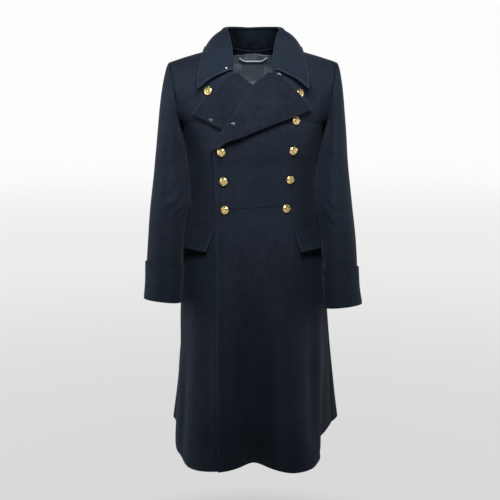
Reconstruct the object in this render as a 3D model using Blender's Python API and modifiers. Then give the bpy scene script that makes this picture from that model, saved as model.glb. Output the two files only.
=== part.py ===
"""A heavy double-breasted greatcoat, hollow as when it is worn, built from its cut pieces.

Sizes are metres. Heights in the tables are measured up from the lowest point of the hem; the
model's origin is at the neck, where the shoulders of a wearer hold the coat. The front faces -Y,
and the wearer's left side is at +X.
"""

import math
from collections import namedtuple
from functools import lru_cache

import bpy
import numpy as np
from mathutils import Matrix, Vector
from mathutils.bvhtree import BVHTree

# ---- Driving sizes ----
NECK_HEIGHT = 1.135  # the origin's height above the hem
CLOTH = 0.003  # heavy wool with its lining
DOUBLE_CLOTH = 0.0036  # collar, lapels and flaps: two layers of the wool
LINING = 0.001
SHARP_ANGLE = 50  # edges sharper than this are not smoothed, in degrees
SEAM_GAP = 0.0003  # between pieces that meet edge to edge
CHEST_DEPTH = 0.15  # from the side seams' plane to the front
FRONT, BACK = -1, 1  # the half of the body that a panel belongs to

BUTTON_RADIUS = 0.01145
BUTTON_HEIGHT = 0.0062
BUTTON_STEPS = 12

# ---- The body's sections, from the hem up to the shoulder seam ----
# level: height at the centre line; edge: height at the side seam or the armhole
# plus, minus: half widths towards +X and -X; side_front, side_back: where the panels end in Y
# front, back: Y at the centre lines; flat: how full the section is towards its corner
# turn: the direction in which the section reaches its end, 90 straight back
Section = namedtuple(
    "Section", "level edge plus minus side_front side_back front back flat turn"
)
SECTIONS = (
    Section(0.000, 0.000, 0.245, 0.234, 0.170, 0.170, -0.150, 0.268, 0.74, 90),
    Section(0.150, 0.150, 0.234, 0.223, 0.128, 0.128, -0.150, 0.235, 0.70, 90),
    Section(0.300, 0.300, 0.223, 0.212, 0.090, 0.090, -0.149, 0.202, 0.67, 90),
    Section(0.440, 0.440, 0.211, 0.207, 0.060, 0.060, -0.149, 0.172, 0.63, 90),
    Section(0.560, 0.560, 0.201, 0.201, 0.042, 0.042, -0.149, 0.149, 0.59, 90),
    Section(0.615, 0.615, 0.197, 0.199, 0.036, 0.036, -0.148, 0.138, 0.57, 90),
    Section(0.662, 0.662, 0.190, 0.191, 0.030, 0.030, -0.144, 0.126, 0.56, 90),
    Section(0.735, 0.735, 0.180, 0.181, 0.026, 0.026, -0.138, 0.109, 0.55, 90),
    Section(0.810, 0.810, 0.180, 0.182, 0.026, 0.026, -0.145, 0.116, 0.55, 90),
    Section(0.885, 0.885, 0.187, 0.187, 0.020, 0.020, -0.153, 0.130, 0.57, 90),
    Section(0.930, 0.930, 0.193, 0.193, 0.010, 0.010, -0.155, 0.135, 0.60, 90),
    Section(0.966, 0.944, 0.197, 0.197, -0.040, 0.050, -0.155, 0.137, 0.50, 74),
    Section(1.004, 0.978, 0.202, 0.202, -0.064, 0.070, -0.151, 0.138, 0.50, 58),
    Section(1.044, 1.018, 0.208, 0.208, -0.066, 0.072, -0.138, 0.133, 0.54, 48),
    Section(1.086, 1.056, 0.215, 0.215, -0.052, 0.057, -0.108, 0.118, 0.60, 38),
    Section(1.118, 1.082, 0.220, 0.220, -0.033, 0.037, -0.072, 0.098, 0.60, 28),
    Section(1.142, 1.097, 0.223, 0.223, -0.014, 0.016, -0.034, 0.064, 0.60, 14),
    Section(1.154, 1.103, 0.224, 0.224, 0.000, 0.000, 0.000, 0.000, 0.60, 0),
)
ARMPIT = 0.930
TOP = SECTIONS[-1].level
SIDE_SLANT = 0.45
BOW = 1.5  # how a section's height falls from the centre to the armhole

# ---- The skirt's folds ----
# place: 0 front centre, 1 and -1 the side seams, 2 back centre; depth: outwards at the hem
# width: half its width, in the units of place; top: the height where it dies away
Fold = namedtuple("Fold", "place depth width top")
FOLDS = (
    Fold(0.01, -0.050, 0.20, 0.60),
    Fold(0.25, 0.040, 0.27, 0.56),
    Fold(0.76, -0.056, 0.30, 0.42),
    Fold(1.22, 0.032, 0.27, 0.50),
    Fold(1.54, -0.022, 0.18, 0.46),
    Fold(1.80, 0.018, 0.20, 0.52),
    Fold(-0.31, 0.042, 0.33, 0.56),
    Fold(-0.66, 0.005, 0.26, 0.30),
    Fold(-1.22, 0.024, 0.25, 0.40),
    Fold(-1.52, -0.020, 0.20, 0.44),
    Fold(-1.78, 0.016, 0.20, 0.50),
)
FOLD_FADE = 1.35  # how fast a fold dies away upwards
SKIRT_AXIS_Y = 0.05  # folds push outwards from this line
# The hem rises towards the back, as the flare lifts it: by how much, and where that begins
HEM_RISE, HEM_RISE_TOP = 0.026, 0.50
HEM_RISE_FROM, HEM_RISE_TO = -0.020, 0.220  # Y

# ---- The over front's inner edge; the under front's is its mirror ----
# level: as in the sections; x: the panel's edge, inside the rolled fold of the lapel
EdgeRow = namedtuple("EdgeRow", "level x")
FRONT_EDGE = (
    EdgeRow(0.000, -0.0960),
    EdgeRow(0.300, -0.0965),
    EdgeRow(0.600, -0.0970),
    EdgeRow(0.840, -0.0990),
    EdgeRow(0.872, -0.0975),
    EdgeRow(0.900, -0.0880),
    EdgeRow(0.945, -0.0560),
    EdgeRow(0.997, -0.0230),
    EdgeRow(1.032, 0.0020),
    EdgeRow(1.060, 0.0330),
    EdgeRow(1.083, 0.0520),
    EdgeRow(1.112, 0.0660),
    EdgeRow(1.142, 0.0760),
    EdgeRow(1.154, 0.0830),
)
# How the fronts lie on each other. rise: how far the over front's face stands out, from its edge
# to where that fades; tuck: how far the covered part of the under front is drawn in
LapRow = namedtuple("LapRow", "level rise tuck fade_from fade_to")
LAP = (
    LapRow(0.000, 0.0068, 0.0030, 0.100, 0.160),
    LapRow(0.600, 0.0066, 0.0024, 0.100, 0.160),
    LapRow(0.760, 0.0060, 0.0010, 0.100, 0.155),
    LapRow(0.828, 0.0070, 0.0000, 0.100, 0.160),
    LapRow(0.866, 0.0112, 0.0000, 0.102, 0.170),
    LapRow(0.930, 0.0114, 0.0000, 0.098, 0.165),
    LapRow(1.010, 0.0112, 0.0000, 0.060, 0.150),
    LapRow(1.045, 0.0085, 0.0000, 0.045, 0.120),
    LapRow(1.085, 0.0015, 0.0000, 0.050, 0.100),
    LapRow(1.154, 0.0000, 0.0000, 0.050, 0.100),
)
TUCK_FROM, TUCK_TO = -0.098, -0.050

# ---- The lapels: from a place on the roll line out to the outline ----
LapelRow = namedtuple("LapelRow", "roll_level edge_x edge_height")
LAPEL_OVER = (
    LapelRow(0.874, -0.0900, 0.8770),
    LapelRow(0.896, -0.0680, 0.8945),
    LapelRow(0.918, -0.0400, 0.9055),
    LapelRow(0.944, -0.0015, 0.9214),
    LapelRow(0.970, 0.0455, 0.9405),
    LapelRow(0.996, 0.0980, 0.9590),
    LapelRow(1.020, 0.1509, 0.9796),
    LapelRow(1.038, 0.1226, 1.0130),
    LapelRow(1.054, 0.0862, 1.0490),
    LapelRow(1.070, 0.0640, 1.0705),
)
LAPEL_UNDER = (
    LapelRow(0.874, 0.0900, 0.8770),
    LapelRow(0.900, 0.0500, 0.8990),
    LapelRow(0.930, 0.0000, 0.9080),
    LapelRow(0.956, -0.0500, 0.9180),
    LapelRow(0.978, -0.0960, 0.9370),
    LapelRow(0.998, -0.1240, 0.9530),
    LapelRow(1.020, -0.1560, 0.9680),
    LapelRow(1.038, -0.1302, 0.9980),
    LapelRow(1.054, -0.0890, 1.0335),
    LapelRow(1.070, -0.0610, 1.0660),
)
# A lapel's own section, from the roll out: share of its width, and lift off the front
LapelStep = namedtuple("LapelStep", "share lift")
LAPEL_SECTION_OVER = (
    LapelStep(0.06, 0.0030),
    LapelStep(0.16, 0.0044),
    LapelStep(0.34, 0.0056),
    LapelStep(0.56, 0.0070),
    LapelStep(0.78, 0.0088),
    LapelStep(1.00, 0.0092),
)
LAPEL_SECTION_UNDER = (
    LapelStep(0.06, 0.0020),
    LapelStep(0.16, 0.0022),
    LapelStep(0.34, 0.0023),
    LapelStep(0.56, 0.0024),
    LapelStep(0.78, 0.0026),
    LapelStep(1.00, 0.0032),
)
# The fold that wraps the front's edge: beyond the edge, and lift
ROLL = ((0.0020, -0.0036), (0.0026, -0.0012), (0.0022, 0.0014))

# ---- The collar, from the back centre to its front end ----
# seam: place on the neckline, 0 back centre, 0.5 the shoulder seam, 1 the front end
# fold: its top; rim: the fall's outer edge
CollarRow = namedtuple("CollarRow", "seam fold rim")
COLLAR = (
    CollarRow(0.00, (0.0000, 0.0880, 1.1940), (0.0000, 0.1330, 1.1170)),
    CollarRow(0.18, (0.0400, 0.0790, 1.1945), (0.0640, 0.1220, 1.1190)),
    CollarRow(0.36, (0.0670, 0.0430, 1.1930), (0.1070, 0.0800, 1.1280)),
    CollarRow(0.50, (0.0735, 0.0060, 1.1880), (0.1260, 0.0180, 1.1390)),
    CollarRow(0.64, (0.0660, -0.0240, 1.1680), (0.1330, -0.0440, 1.1150)),
    CollarRow(0.76, (0.0600, -0.0560, 1.1390), (0.1380, -0.0820, 1.0880)),
    CollarRow(0.88, (0.0555, -0.0880, 1.1080), (0.1425, -0.1200, 1.0560)),
    CollarRow(1.00, (0.0570, -0.1120, 1.0800), (0.1425, -0.1380, 1.0330)),
)
COLLAR_STEPS = 2  # between two rows
STAND_SHARES = (0.0, 0.34, 0.68, 1.0)  # up from the neck seam
STAND_UNDER = 0.0050  # its top below the fold
STAND_CLEAR = 0.0034  # its foot off the neck edge
STAND_TOP_SHARE = 0.9  # how much of its thickness it keeps at its top
STAND_END = 0.88  # where on the neckline the stand has run out
GORGE_LEVEL = 1.083  # where the front's edge passes into the lapel
# The roll over the stand's top: outwards from the fold, and up; then shares of the way down
FALL_ROLL = ((-0.0012, -0.0012), (0.0014, 0.0008), (0.0052, 0.0000))
FALL_SHARES = (0.18, 0.36, 0.56, 0.78, 1.0)
FALL_CLEAR = 0.0024  # the fall's underside off the body
FALL_BULGE = 0.00525  # how far the fall stands out and up between its fold and its rim

# ---- The sleeves, below the cap ----
# height: at the middle of the ring; inside, outside: |X|, the outside of the right and the left
# sleeve; front, back: Y; pitch: how much higher the ring's front is than its back
SleeveRow = namedtuple("SleeveRow", "height inside outside outside_left front back pitch")
SLEEVE = (
    SleeveRow(0.8720, 0.1855, 0.2635, 0.2560, -0.1000, 0.0610, 0.00),
    SleeveRow(0.8000, 0.1770, 0.2700, 0.2625, -0.1160, 0.0430, 0.04),
    SleeveRow(0.7350, 0.1725, 0.2765, 0.2690, -0.1270, 0.0200, 0.08),
    SleeveRow(0.6700, 0.1830, 0.2830, 0.2765, -0.1330, 0.0080, 0.12),
    SleeveRow(0.6000, 0.1905, 0.2875, 0.2825, -0.1350, 0.0030, 0.14),
    SleeveRow(0.5500, 0.1940, 0.2900, 0.2855, -0.1350, 0.0020, 0.14),
    SleeveRow(0.5050, 0.1965, 0.2915, 0.2885, -0.1350, 0.0020, 0.14),
    SleeveRow(0.4625, 0.2005, 0.2955, 0.2950, -0.1350, 0.0020, 0.14),
)
SLEEVE_INNER_FLAT = 0.85  # the side against the body is a little flatter than an ellipse
SLEEVE_TILT = 0.12  # the rings lie square to the arm
CAP_SHARES = (0.05, 0.14, 0.28, 0.46, 0.64, 0.82)
ARMHOLE_LEAVE = 0.066  # how strongly the cap leaves the armhole outwards
ARMHOLE_FALL = 0.150  # how strongly it arrives along the arm
LOW_LEAVE, LOW_FALL = 0.28, 0.30  # how much of both is left at the armpit
ARMHOLE_OUT = 0.020  # how far it stands off the front and back of the armhole
ARMPIT_LIFT = 0.014  # it rises over the armpit before it falls
ARM_SLANT = 0.012
ARMHOLE_GAP = 0.0009
RIGHT_SLEEVE_DROP = 0.0
LEFT_SLEEVE_DROP = 0.015

CUFF_TOP = 0.562
CUFF_ROWS = 4
CUFF_BELOW = 0.004  # its hem below the sleeve's
CUFF_OUT = 0.0016  # the cuff's clearance round the sleeve

# ---- Pocket flaps, on the side of the front panels ----
FLAP_INNER_TOP, FLAP_INNER_BOTTOM = 0.105, 0.122  # |X| of the inner end
FLAP_OUTER = 0.82  # place of the outer end
FLAP_HIGH, FLAP_LOW = 0.660, 0.602
FLAP_LIFT_TOP, FLAP_LIFT_LOW = 0.0014, 0.0028
FLAP_ROWS, FLAP_COLUMNS = 4, 8

# ---- Buttons: x and height of each, seen from the front ----
ButtonPlace = namedtuple("ButtonPlace", "name x height")
UNDER_BUTTONS = (ButtonPlace("button_under_1", -0.1158, 1.0268),)
OVER_BUTTONS = (
    ButtonPlace("button_over_1", 0.1197, 1.0204),
    ButtonPlace("button_left_2", 0.1092, 0.9509),
    ButtonPlace("button_right_3", -0.0821, 0.8703),
    ButtonPlace("button_left_3", 0.1033, 0.8731),
    ButtonPlace("button_right_4", -0.0765, 0.7926),
    ButtonPlace("button_left_4", 0.0965, 0.7957),
    ButtonPlace("button_right_5", -0.0738, 0.7162),
    ButtonPlace("button_left_5", 0.0870, 0.7194),
)

# A button's profile from the crown to the middle of its back: shares of radius and height
BUTTON_PROFILE = (
    (0.00, 1.00),
    (0.36, 0.97),
    (0.68, 0.84),
    (0.90, 0.60),
    (1.00, 0.34),
    (0.96, 0.12),
    (0.84, 0.00),
    (0.00, 0.00),
)
BUTTON_CLEAR = 0.0011

# ---- Hooks and eyes: x and height, and the way they point ----
HookPlace = namedtuple("HookPlace", "name x height turn")
HOOKS = (
    HookPlace("hook_collar_right", -0.0690, 1.0840, -0.5),
    HookPlace("eye_collar_left", 0.0680, 1.0800, 3.6),
    HookPlace("hook_lapel_right", -0.1080, 0.9530, 2.6),
    HookPlace("eye_lapel_left", -0.0500, 0.9450, 2.6),
)
HOOK_LENGTH, HOOK_WIDTH, HOOK_WIRE = 0.0085, 0.0036, 0.0006
HOOK_BEND = 5

# ---- Inside the neck ----
LINING_HALF = 0.105
LINING_LOW, LINING_HIGH = 1.010, 1.131
LINING_ROWS, LINING_COLUMNS = 5, 10
LABEL_HALF = 0.031
LABEL_LOW, LABEL_HIGH = 1.057, 1.117
LINING_DEPTH = CLOTH + 0.0030  # its back, in from the back panels' face
LABEL_THICK, LABEL_CLEAR = 0.0008, 0.0012
LOOP_CLEAR = 0.0030
LOOP_HALF = 0.040
LOOP_HEIGHT, LOOP_DROP = 1.128, 0.013
LOOP_RADIUS = 0.0022
LOOP_STEPS = 14

WOOL = ("coat_cloth", (0.016, 0.019, 0.028), 0.95, 0.0)
LINING_CLOTH = ("lining", (0.12, 0.15, 0.19), 0.6, 0.0)
LABEL_CLOTH = ("label", (0.03, 0.04, 0.05), 0.7, 0.0)
LOOP_CLOTH = ("loop", (0.42, 0.50, 0.52), 0.6, 0.0)
GILT = ("gilt", (0.72, 0.58, 0.26), 0.3, 1.0)
STEEL = ("steel", (0.62, 0.63, 0.65), 0.3, 1.0)


def clear_scene():
    for item in list(bpy.data.objects):
        bpy.data.objects.remove(item, do_unlink=True)


def new_collection(name):
    collection = bpy.data.collections.new(name)
    bpy.context.scene.collection.children.link(collection)
    return collection


def material(finish):
    name, colour, roughness, metallic = finish
    made = bpy.data.materials.get(name) or bpy.data.materials.new(name)
    made.use_nodes = True
    shader = made.node_tree.nodes["Principled BSDF"]
    shader.inputs["Base Color"].default_value = (*colour, 1.0)
    shader.inputs["Roughness"].default_value = roughness
    shader.inputs["Metallic"].default_value = metallic
    return made


def place_mesh(name, mesh, finish):
    mesh.materials.append(material(finish))
    mesh.shade_smooth()
    mesh.set_sharp_from_angle(angle=math.radians(SHARP_ANGLE))
    made = bpy.data.objects.new(name, mesh)
    bpy.data.collections["greatcoat"].objects.link(made)
    return made


# ---- Curves through tables ----
def smooth(rows, at):
    """All columns of a table at a value of its first, on a smooth curve through its rows."""
    table = np.array(rows, dtype=float)
    keys = table[:, 0]
    low = int(np.clip(np.searchsorted(keys, at) - 1, 0, len(keys) - 2))
    steps = np.diff(table, axis=0) / np.diff(keys)[:, None]
    slopes = np.vstack([steps[:1], (steps[1:] + steps[:-1]) / 2, steps[-1:]])
    bound = 2 * np.minimum(np.abs(steps[1:]), np.abs(steps[:-1]))
    level = steps[1:] * steps[:-1] <= 0
    slopes[1:-1] = np.where(level, 0.0, np.clip(slopes[1:-1], -bound, bound))
    span = keys[low + 1] - keys[low]
    t = (at - keys[low]) / span
    return (
        (2 * t**3 - 3 * t**2 + 1) * table[low]
        + (t**3 - 2 * t**2 + t) * span * slopes[low]
        + (3 * t**2 - 2 * t**3) * table[low + 1]
        + (t**3 - t**2) * span * slopes[low + 1]
    )


def bezier(t, a, b, c, d):
    s = 1 - t
    return s**3 * a + 3 * s * s * t * b + 3 * s * t * t * c + t**3 * d


def ease(share):
    share = min(max(share, 0.0), 1.0)
    return share * share * (3 - 2 * share)


# ---- The body's surface ----
def fold_push(place, level):
    """How far the skirt's folds push the cloth out at a place round it."""
    push = 0.0
    for fold in FOLDS:
        away = abs((place - fold.place + 2) % 4 - 2)
        if away < fold.width and level < fold.top:
            shape = 0.5 + 0.5 * math.cos(math.pi * away / fold.width)
            push += fold.depth * shape * (1 - level / fold.top) ** FOLD_FADE
    return push


@lru_cache(maxsize=None)
def section(level):
    return Section(*smooth(SECTIONS, max(level, 0.0)))


def body(side, across, level):
    """A point of the body's face: side FRONT or BACK, across from -1 to 1, level up."""
    if level > TOP:
        side, level = -side, 2 * TOP - level
    if abs(across) > 1:
        side, across = -side, math.copysign(2 - abs(across), across)
    row = section(level)
    half = row.plus if across >= 0 else row.minus
    middle, end = (row.front, row.side_front) if side == FRONT else (row.back, row.side_back)
    if level <= ARMPIT:
        end = (row.side_front + row.side_back) / 2
    turn = math.radians(row.turn)
    share = abs(across)
    x = bezier(share, 0.0, row.flat * half, half * (1 - SIDE_SLANT * math.cos(turn)), half)
    corner = end + row.flat * (middle - end) * math.sin(turn)
    y = bezier(share, middle, middle, corner, end)
    height = level + (row.edge - row.level) * (x / half) ** BOW
    if level < HEM_RISE_TOP:
        back = ease((y - HEM_RISE_FROM) / (HEM_RISE_TO - HEM_RISE_FROM))
        height += HEM_RISE * back * (1 - level / HEM_RISE_TOP) ** 2
    point = Vector((math.copysign(x, across), y, height))
    place = across if side == FRONT else math.copysign(2 - share, across)
    out = Vector((point.x, point.y - SKIRT_AXIS_Y, 0.0)).normalized()
    return point + out * fold_push(place, level)


def body_normal(side, across, level):
    """The outward direction of the body's face."""
    step = 0.004
    high = across + step
    low = across - step
    if level > ARMPIT:
        high = min(high, 1.0)
        low = max(low, -1.0)
    along = body(side, high, level) - body(side, low, level)
    up = body(side, across, level + step) - body(side, across, level - step)
    return along.cross(up).normalized() * -side


def on_body(side, across, level, out):
    return body(side, across, level) + body_normal(side, across, level) * out


def across_at(side, level, x):
    """The place across a section where it reaches x."""
    low, high = -1.0, 1.0
    for _ in range(30):
        middle = (low + high) / 2
        if body(side, middle, level).x < x:
            low = middle
        else:
            high = middle
    return (low + high) / 2


# ---- Walls from grids of points ----
def origin_shift(points):
    return [Vector((p[0], p[1], p[2] - NECK_HEIGHT)) for p in points]


def grid_faces(rows, columns, start, closed):
    """Quads over a grid whose points run along its columns first."""
    last = columns if closed else columns - 1
    faces = []
    for r in range(rows - 1):
        for c in range(last):
            n = (c + 1) % columns
            faces.append(
                (
                    start + r * columns + c,
                    start + r * columns + n,
                    start + (r + 1) * columns + n,
                    start + (r + 1) * columns + c,
                )
            )
    return faces


def rim_loop(rows, columns):
    """The grid's border, once round, anticlockwise seen from its face."""
    bottom = list(range(columns))
    right = [r * columns + columns - 1 for r in range(1, rows)]
    top = [(rows - 1) * columns + c for c in range(columns - 2, -1, -1)]
    left = [r * columns for r in range(rows - 2, 0, -1)]
    return bottom + right + top + left


def wall(name, outer, inner, finish, closed=False):
    """A closed wall between two grids of points; closed joins each row end to end."""
    rows, columns = len(outer), len(outer[0])
    count = rows * columns
    points = [p for row in outer for p in row] + [p for row in inner for p in row]
    faces = grid_faces(rows, columns, 0, closed)
    faces += [face[::-1] for face in grid_faces(rows, columns, count, closed)]
    if closed:
        for c in range(columns):
            n = (c + 1) % columns
            faces.append((n, c, count + c, count + n))
            top = (rows - 1) * columns
            faces.append((top + c, top + n, count + top + n, count + top + c))
    else:
        loop = rim_loop(rows, columns)
        for a, b in zip(loop, loop[1:] + loop[:1]):
            faces.append((b, a, count + a, count + b))
    mesh = bpy.data.meshes.new(name)
    mesh.from_pydata(origin_shift(points), [], faces)
    mesh.validate()
    if signed_volume(mesh) < 0:
        mesh.flip_normals()
    return place_mesh(name, mesh, finish)


def signed_volume(mesh):
    total = 0.0
    for face in mesh.polygons:
        corners = [mesh.vertices[i].co for i in face.vertices]
        for second, third in zip(corners[1:], corners[2:]):
            total += corners[0].dot(second.cross(third))
    return total


def sheet(name, grid, thickness, finish, outwards):
    """A wall on an open surface: the grid is its underside, and it thickens outwards."""
    rows, columns = len(grid), len(grid[0])
    mesh = bpy.data.meshes.new(name)
    points = [p for row in grid for p in row]
    mesh.from_pydata(origin_shift(points), [], grid_faces(rows, columns, 0, False))
    facing = sum((face.normal * face.area for face in mesh.polygons), Vector())
    if facing.dot(outwards) < 0:
        mesh.flip_normals()
    made = place_mesh(name, mesh, finish)
    shell = made.modifiers.new("thickness", "SOLIDIFY")
    shell.thickness = thickness
    shell.offset = 1.0
    shell.use_even_offset = True
    shell.use_quality_normals = True
    return made


def surface_tree(grids):
    """The faces of some grids, to find points on."""
    points, faces = [], []
    for grid in grids:
        faces += grid_faces(len(grid), len(grid[0]), len(points), False)
        points += [p for row in grid for p in row]
    return BVHTree.FromPolygons(points, faces)


def seen_point(tree, x, height, lift):
    """The point of a face that is seen from the front at x and height, stood out by lift."""
    place, normal, _, _ = tree.ray_cast(Vector((x, -1.0, height)), Vector((0.0, 1.0, 0.0)))
    if place is None:
        place, normal, _, _ = tree.find_nearest(Vector((x, -CHEST_DEPTH, height)))
    return Vector((x, place.y - lift / max(abs(normal.y), 0.5), height))


# ---- Fronts and backs ----
SKIRT_LEVELS = (0.0, 0.07, 0.15, 0.24, 0.33, 0.42, 0.50, 0.57, 0.63)
TORSO_LEVELS = (0.685, 0.735, 0.785, 0.83, 0.868, 0.90)
YOKE_LEVELS = (0.93, 0.943, 0.960, 0.982, 1.008, 1.036, 1.064, 1.092, 1.117, 1.138, 1.154)
LEVELS = SKIRT_LEVELS + TORSO_LEVELS + YOKE_LEVELS
FRONT_COLUMNS, BACK_COLUMNS = 20, 12
FINE = 4  # how much finer than a panel the surface is that other pieces are placed on


def edge_x(level):
    return smooth(FRONT_EDGE, level)[1]


@lru_cache(maxsize=None)
def lap_row(level):
    return LapRow(*smooth(LAP, level))


def lap_rise(level, x):
    row = lap_row(level)
    fade = (x - row.fade_from) / (row.fade_to - row.fade_from)
    return max(row.rise, 0.0) * (1 - ease(fade))


def under_tuck(level, x):
    row = lap_row(level)
    return -max(row.tuck, 0.0) * ease((x - TUCK_FROM) / (TUCK_TO - TUCK_FROM))


def seam_trim(side, across, level, towards):
    """Half the seam gap, as a share across."""
    step = 0.002
    length = (body(side, across, level) - body(side, across - towards * step, level)).length
    return SEAM_GAP / 2 * step / length


def panel_rows(side, levels, columns, ends, rise, inwards):
    """Rows of points up a front or back panel, each from its inner edge to its side."""
    rows = []
    for level in levels:
        start, end = ends(level)
        row = []
        for column in range(columns + 1):
            across = start + (end - start) * column / columns
            at = top_level(side, across, level)
            out = rise(at, body(side, across, at).x)
            row.append(on_body(side, across, at, out - inwards))
        rows.append(row)
    drop = Vector((0.0, side * SEAM_GAP / 2, 0.0))
    rows[-1] = [point + drop for point in rows[-1]]
    return rows


def fine_levels():
    levels = []
    for low, high in zip(LEVELS, LEVELS[1:]):
        levels += [low + (high - low) * step / FINE for step in range(FINE)]
    return levels + [LEVELS[-1]]


def panel(name, side, columns, ends, rise):
    """A front or back panel; its face comes back as a fine grid, for what lies on it."""
    outer = panel_rows(side, LEVELS, columns, ends, rise, 0.0)
    inner = panel_rows(side, LEVELS, columns, ends, rise, CLOTH)
    wall(name, outer, inner, WOOL)
    return panel_rows(side, fine_levels(), columns * FINE, ends, rise, 0.0)


BACK_NECK_CENTRE = 1.138


def top_level(side, across, level):
    """A back panel's rows dip to the neckline between the shoulder seams' inner ends."""
    if side == FRONT or level <= ARMPIT:
        return level
    neck = across_at(BACK, TOP, FRONT_EDGE[-1].x)
    share = ease(1 - abs(across) / neck) if abs(across) < neck else 0.0
    centre = BACK_NECK_CENTRE - ARMPIT
    full = TOP - ARMPIT
    scale = (full + (centre - full) * share) / full
    return ARMPIT + (level - ARMPIT) * scale


def side_place(side, sign, level):
    return sign * (1 - seam_trim(side, sign, level, sign))


def no_rise(level, x):
    return 0.0


def build_panels():
    def over_ends(level):
        return across_at(FRONT, level, edge_x(level)), side_place(FRONT, 1, level)

    def under_ends(level):
        return side_place(FRONT, -1, level), across_at(FRONT, level, -edge_x(level))

    def left_ends(level):
        return seam_trim(BACK, 0.001, level, 1), side_place(BACK, 1, level)

    def right_ends(level):
        return side_place(BACK, -1, level), -seam_trim(BACK, -0.001, level, -1)

    return (
        panel("front_over", FRONT, FRONT_COLUMNS, over_ends, lap_rise),
        panel("front_under", FRONT, FRONT_COLUMNS, under_ends, under_tuck),
        panel("back_left", BACK, BACK_COLUMNS, left_ends, no_rise),
        panel("back_right", BACK, BACK_COLUMNS, right_ends, no_rise),
    )


# ---- Sleeves and cuffs ----
def armhole_places():
    """The armhole from the shoulder down its front and up its back, at the panels' own rows."""
    down = [(FRONT, level) for level in YOKE_LEVELS[::-1]]
    up = [(BACK, level) for level in YOKE_LEVELS[1:-1]]
    return down + up


def sleeve_ring(sign, row, drop, out):
    """One ring of the sleeve, from the outside round by the front."""
    outside = row.outside_left if sign > 0 else row.outside
    middle = (row.inside + outside) / 2
    half = (outside - row.inside) / 2 + out
    centre_y = (row.front + row.back) / 2
    depth = (row.back - row.front) / 2
    ring = []
    count = 2 * (len(YOKE_LEVELS) - 1)
    for step in range(count):
        angle = 2 * math.pi * step / count
        reach = math.cos(angle)
        if reach < 0:
            reach = -((-reach) ** SLEEVE_INNER_FLAT)
        x = middle + half * reach
        y = centre_y - (depth + out) * math.sin(angle)
        height = row.height - drop + SLEEVE_TILT * (x - middle) - row.pitch * (y - centre_y)
        ring.append(Vector((sign * x, y, height)))
    return ring


def hermite(t, start, leave, end, arrive):
    return (
        start * (2 * t**3 - 3 * t**2 + 1)
        + leave * (t**3 - 2 * t**2 + t)
        + end * (3 * t**2 - 2 * t**3)
        + arrive * (t**3 - t**2)
    )


def sleeve_rows(sign, drop):
    """The sleeve's outer grid, from the armhole down to the wrist."""
    first = sleeve_ring(sign, SLEEVE[0], drop, 0.0)
    places = armhole_places()
    starts = [body(side, sign, level) for side, level in places]
    normals = [body_normal(side, sign, level) for side, level in places]
    rows = []
    for share in (0.0,) + CAP_SHARES:
        row = []
        for step, start in enumerate(starts):
            angle = 2 * math.pi * step / len(starts)
            low = 0.5 - 0.5 * math.cos(angle)
            leave = Vector((sign, 0.0, 0.0)) * ARMHOLE_LEAVE * (1 + (LOW_LEAVE - 1) * low)
            leave += normals[step] * ARMHOLE_OUT * math.sin(angle) ** 2
            leave.z += ARMPIT_LIFT * low
            fall = ARMHOLE_FALL * (1 + (LOW_FALL - 1) * low)
            arrive = Vector((sign * ARM_SLANT, 0.0, -fall))
            row.append(hermite(share, start, leave, first[step], arrive))
        rows.append(row)
    rows += [sleeve_ring(sign, row, drop, 0.0) for row in SLEEVE]
    return rows, normals


def tube_normals(rows, sign):
    """Outward directions of a tube's grid."""
    count = len(rows[0])
    found = []
    for r, row in enumerate(rows):
        above = rows[max(r - 1, 0)]
        below = rows[min(r + 1, len(rows) - 1)]
        line = []
        for c in range(count):
            along = row[(c + 1) % count] - row[c - 1]
            down = below[c] - above[c]
            line.append(along.cross(down).normalized() * sign)
        found.append(line)
    return found


def build_sleeve(name, sign, drop):
    rows, edge_normals = sleeve_rows(sign, drop)
    normals = tube_normals(rows, sign)
    normals[0] = edge_normals
    count = len(rows[0])
    leave = []
    for c in range(count):
        along = rows[0][(c + 1) % count] - rows[0][c - 1]
        out = along.cross(edge_normals[c]).normalized() * -sign
        leave.append(out)
    rows[0] = [p + out * ARMHOLE_GAP for p, out in zip(rows[0], leave)]
    inner = [[p - n * CLOTH for p, n in zip(row, line)] for row, line in zip(rows, normals)]
    wall(name, rows, inner, WOOL, closed=True)


def cuff_section(share):
    """The sleeve's row at a share of the cuff's height, from its hem up."""
    heights = [row.height for row in SLEEVE][::-1]
    rows = [tuple(row) for row in SLEEVE][::-1]
    hem = SLEEVE[-1].height - CUFF_BELOW
    height = hem + (CUFF_TOP - hem) * share
    values = smooth(rows, max(height, heights[0]))
    return SleeveRow(height, *values[1:])


def build_cuff(name, sign, drop):
    outer, inner = [], []
    for step in range(CUFF_ROWS + 1):
        row = cuff_section(step / CUFF_ROWS)
        inner.append(sleeve_ring(sign, row, drop, CUFF_OUT))
        outer.append(sleeve_ring(sign, row, drop, CUFF_OUT + CLOTH))
    wall(name, outer, inner, WOOL, closed=True)


# ---- Lapels ----
def edge_point(edge, height):
    """The point of a panel's edge at a height."""
    for low, high in zip(edge, edge[1:]):
        if low.z <= height <= high.z:
            return low.lerp(high, (height - low.z) / (high.z - low.z))
    return edge[-1]


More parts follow.
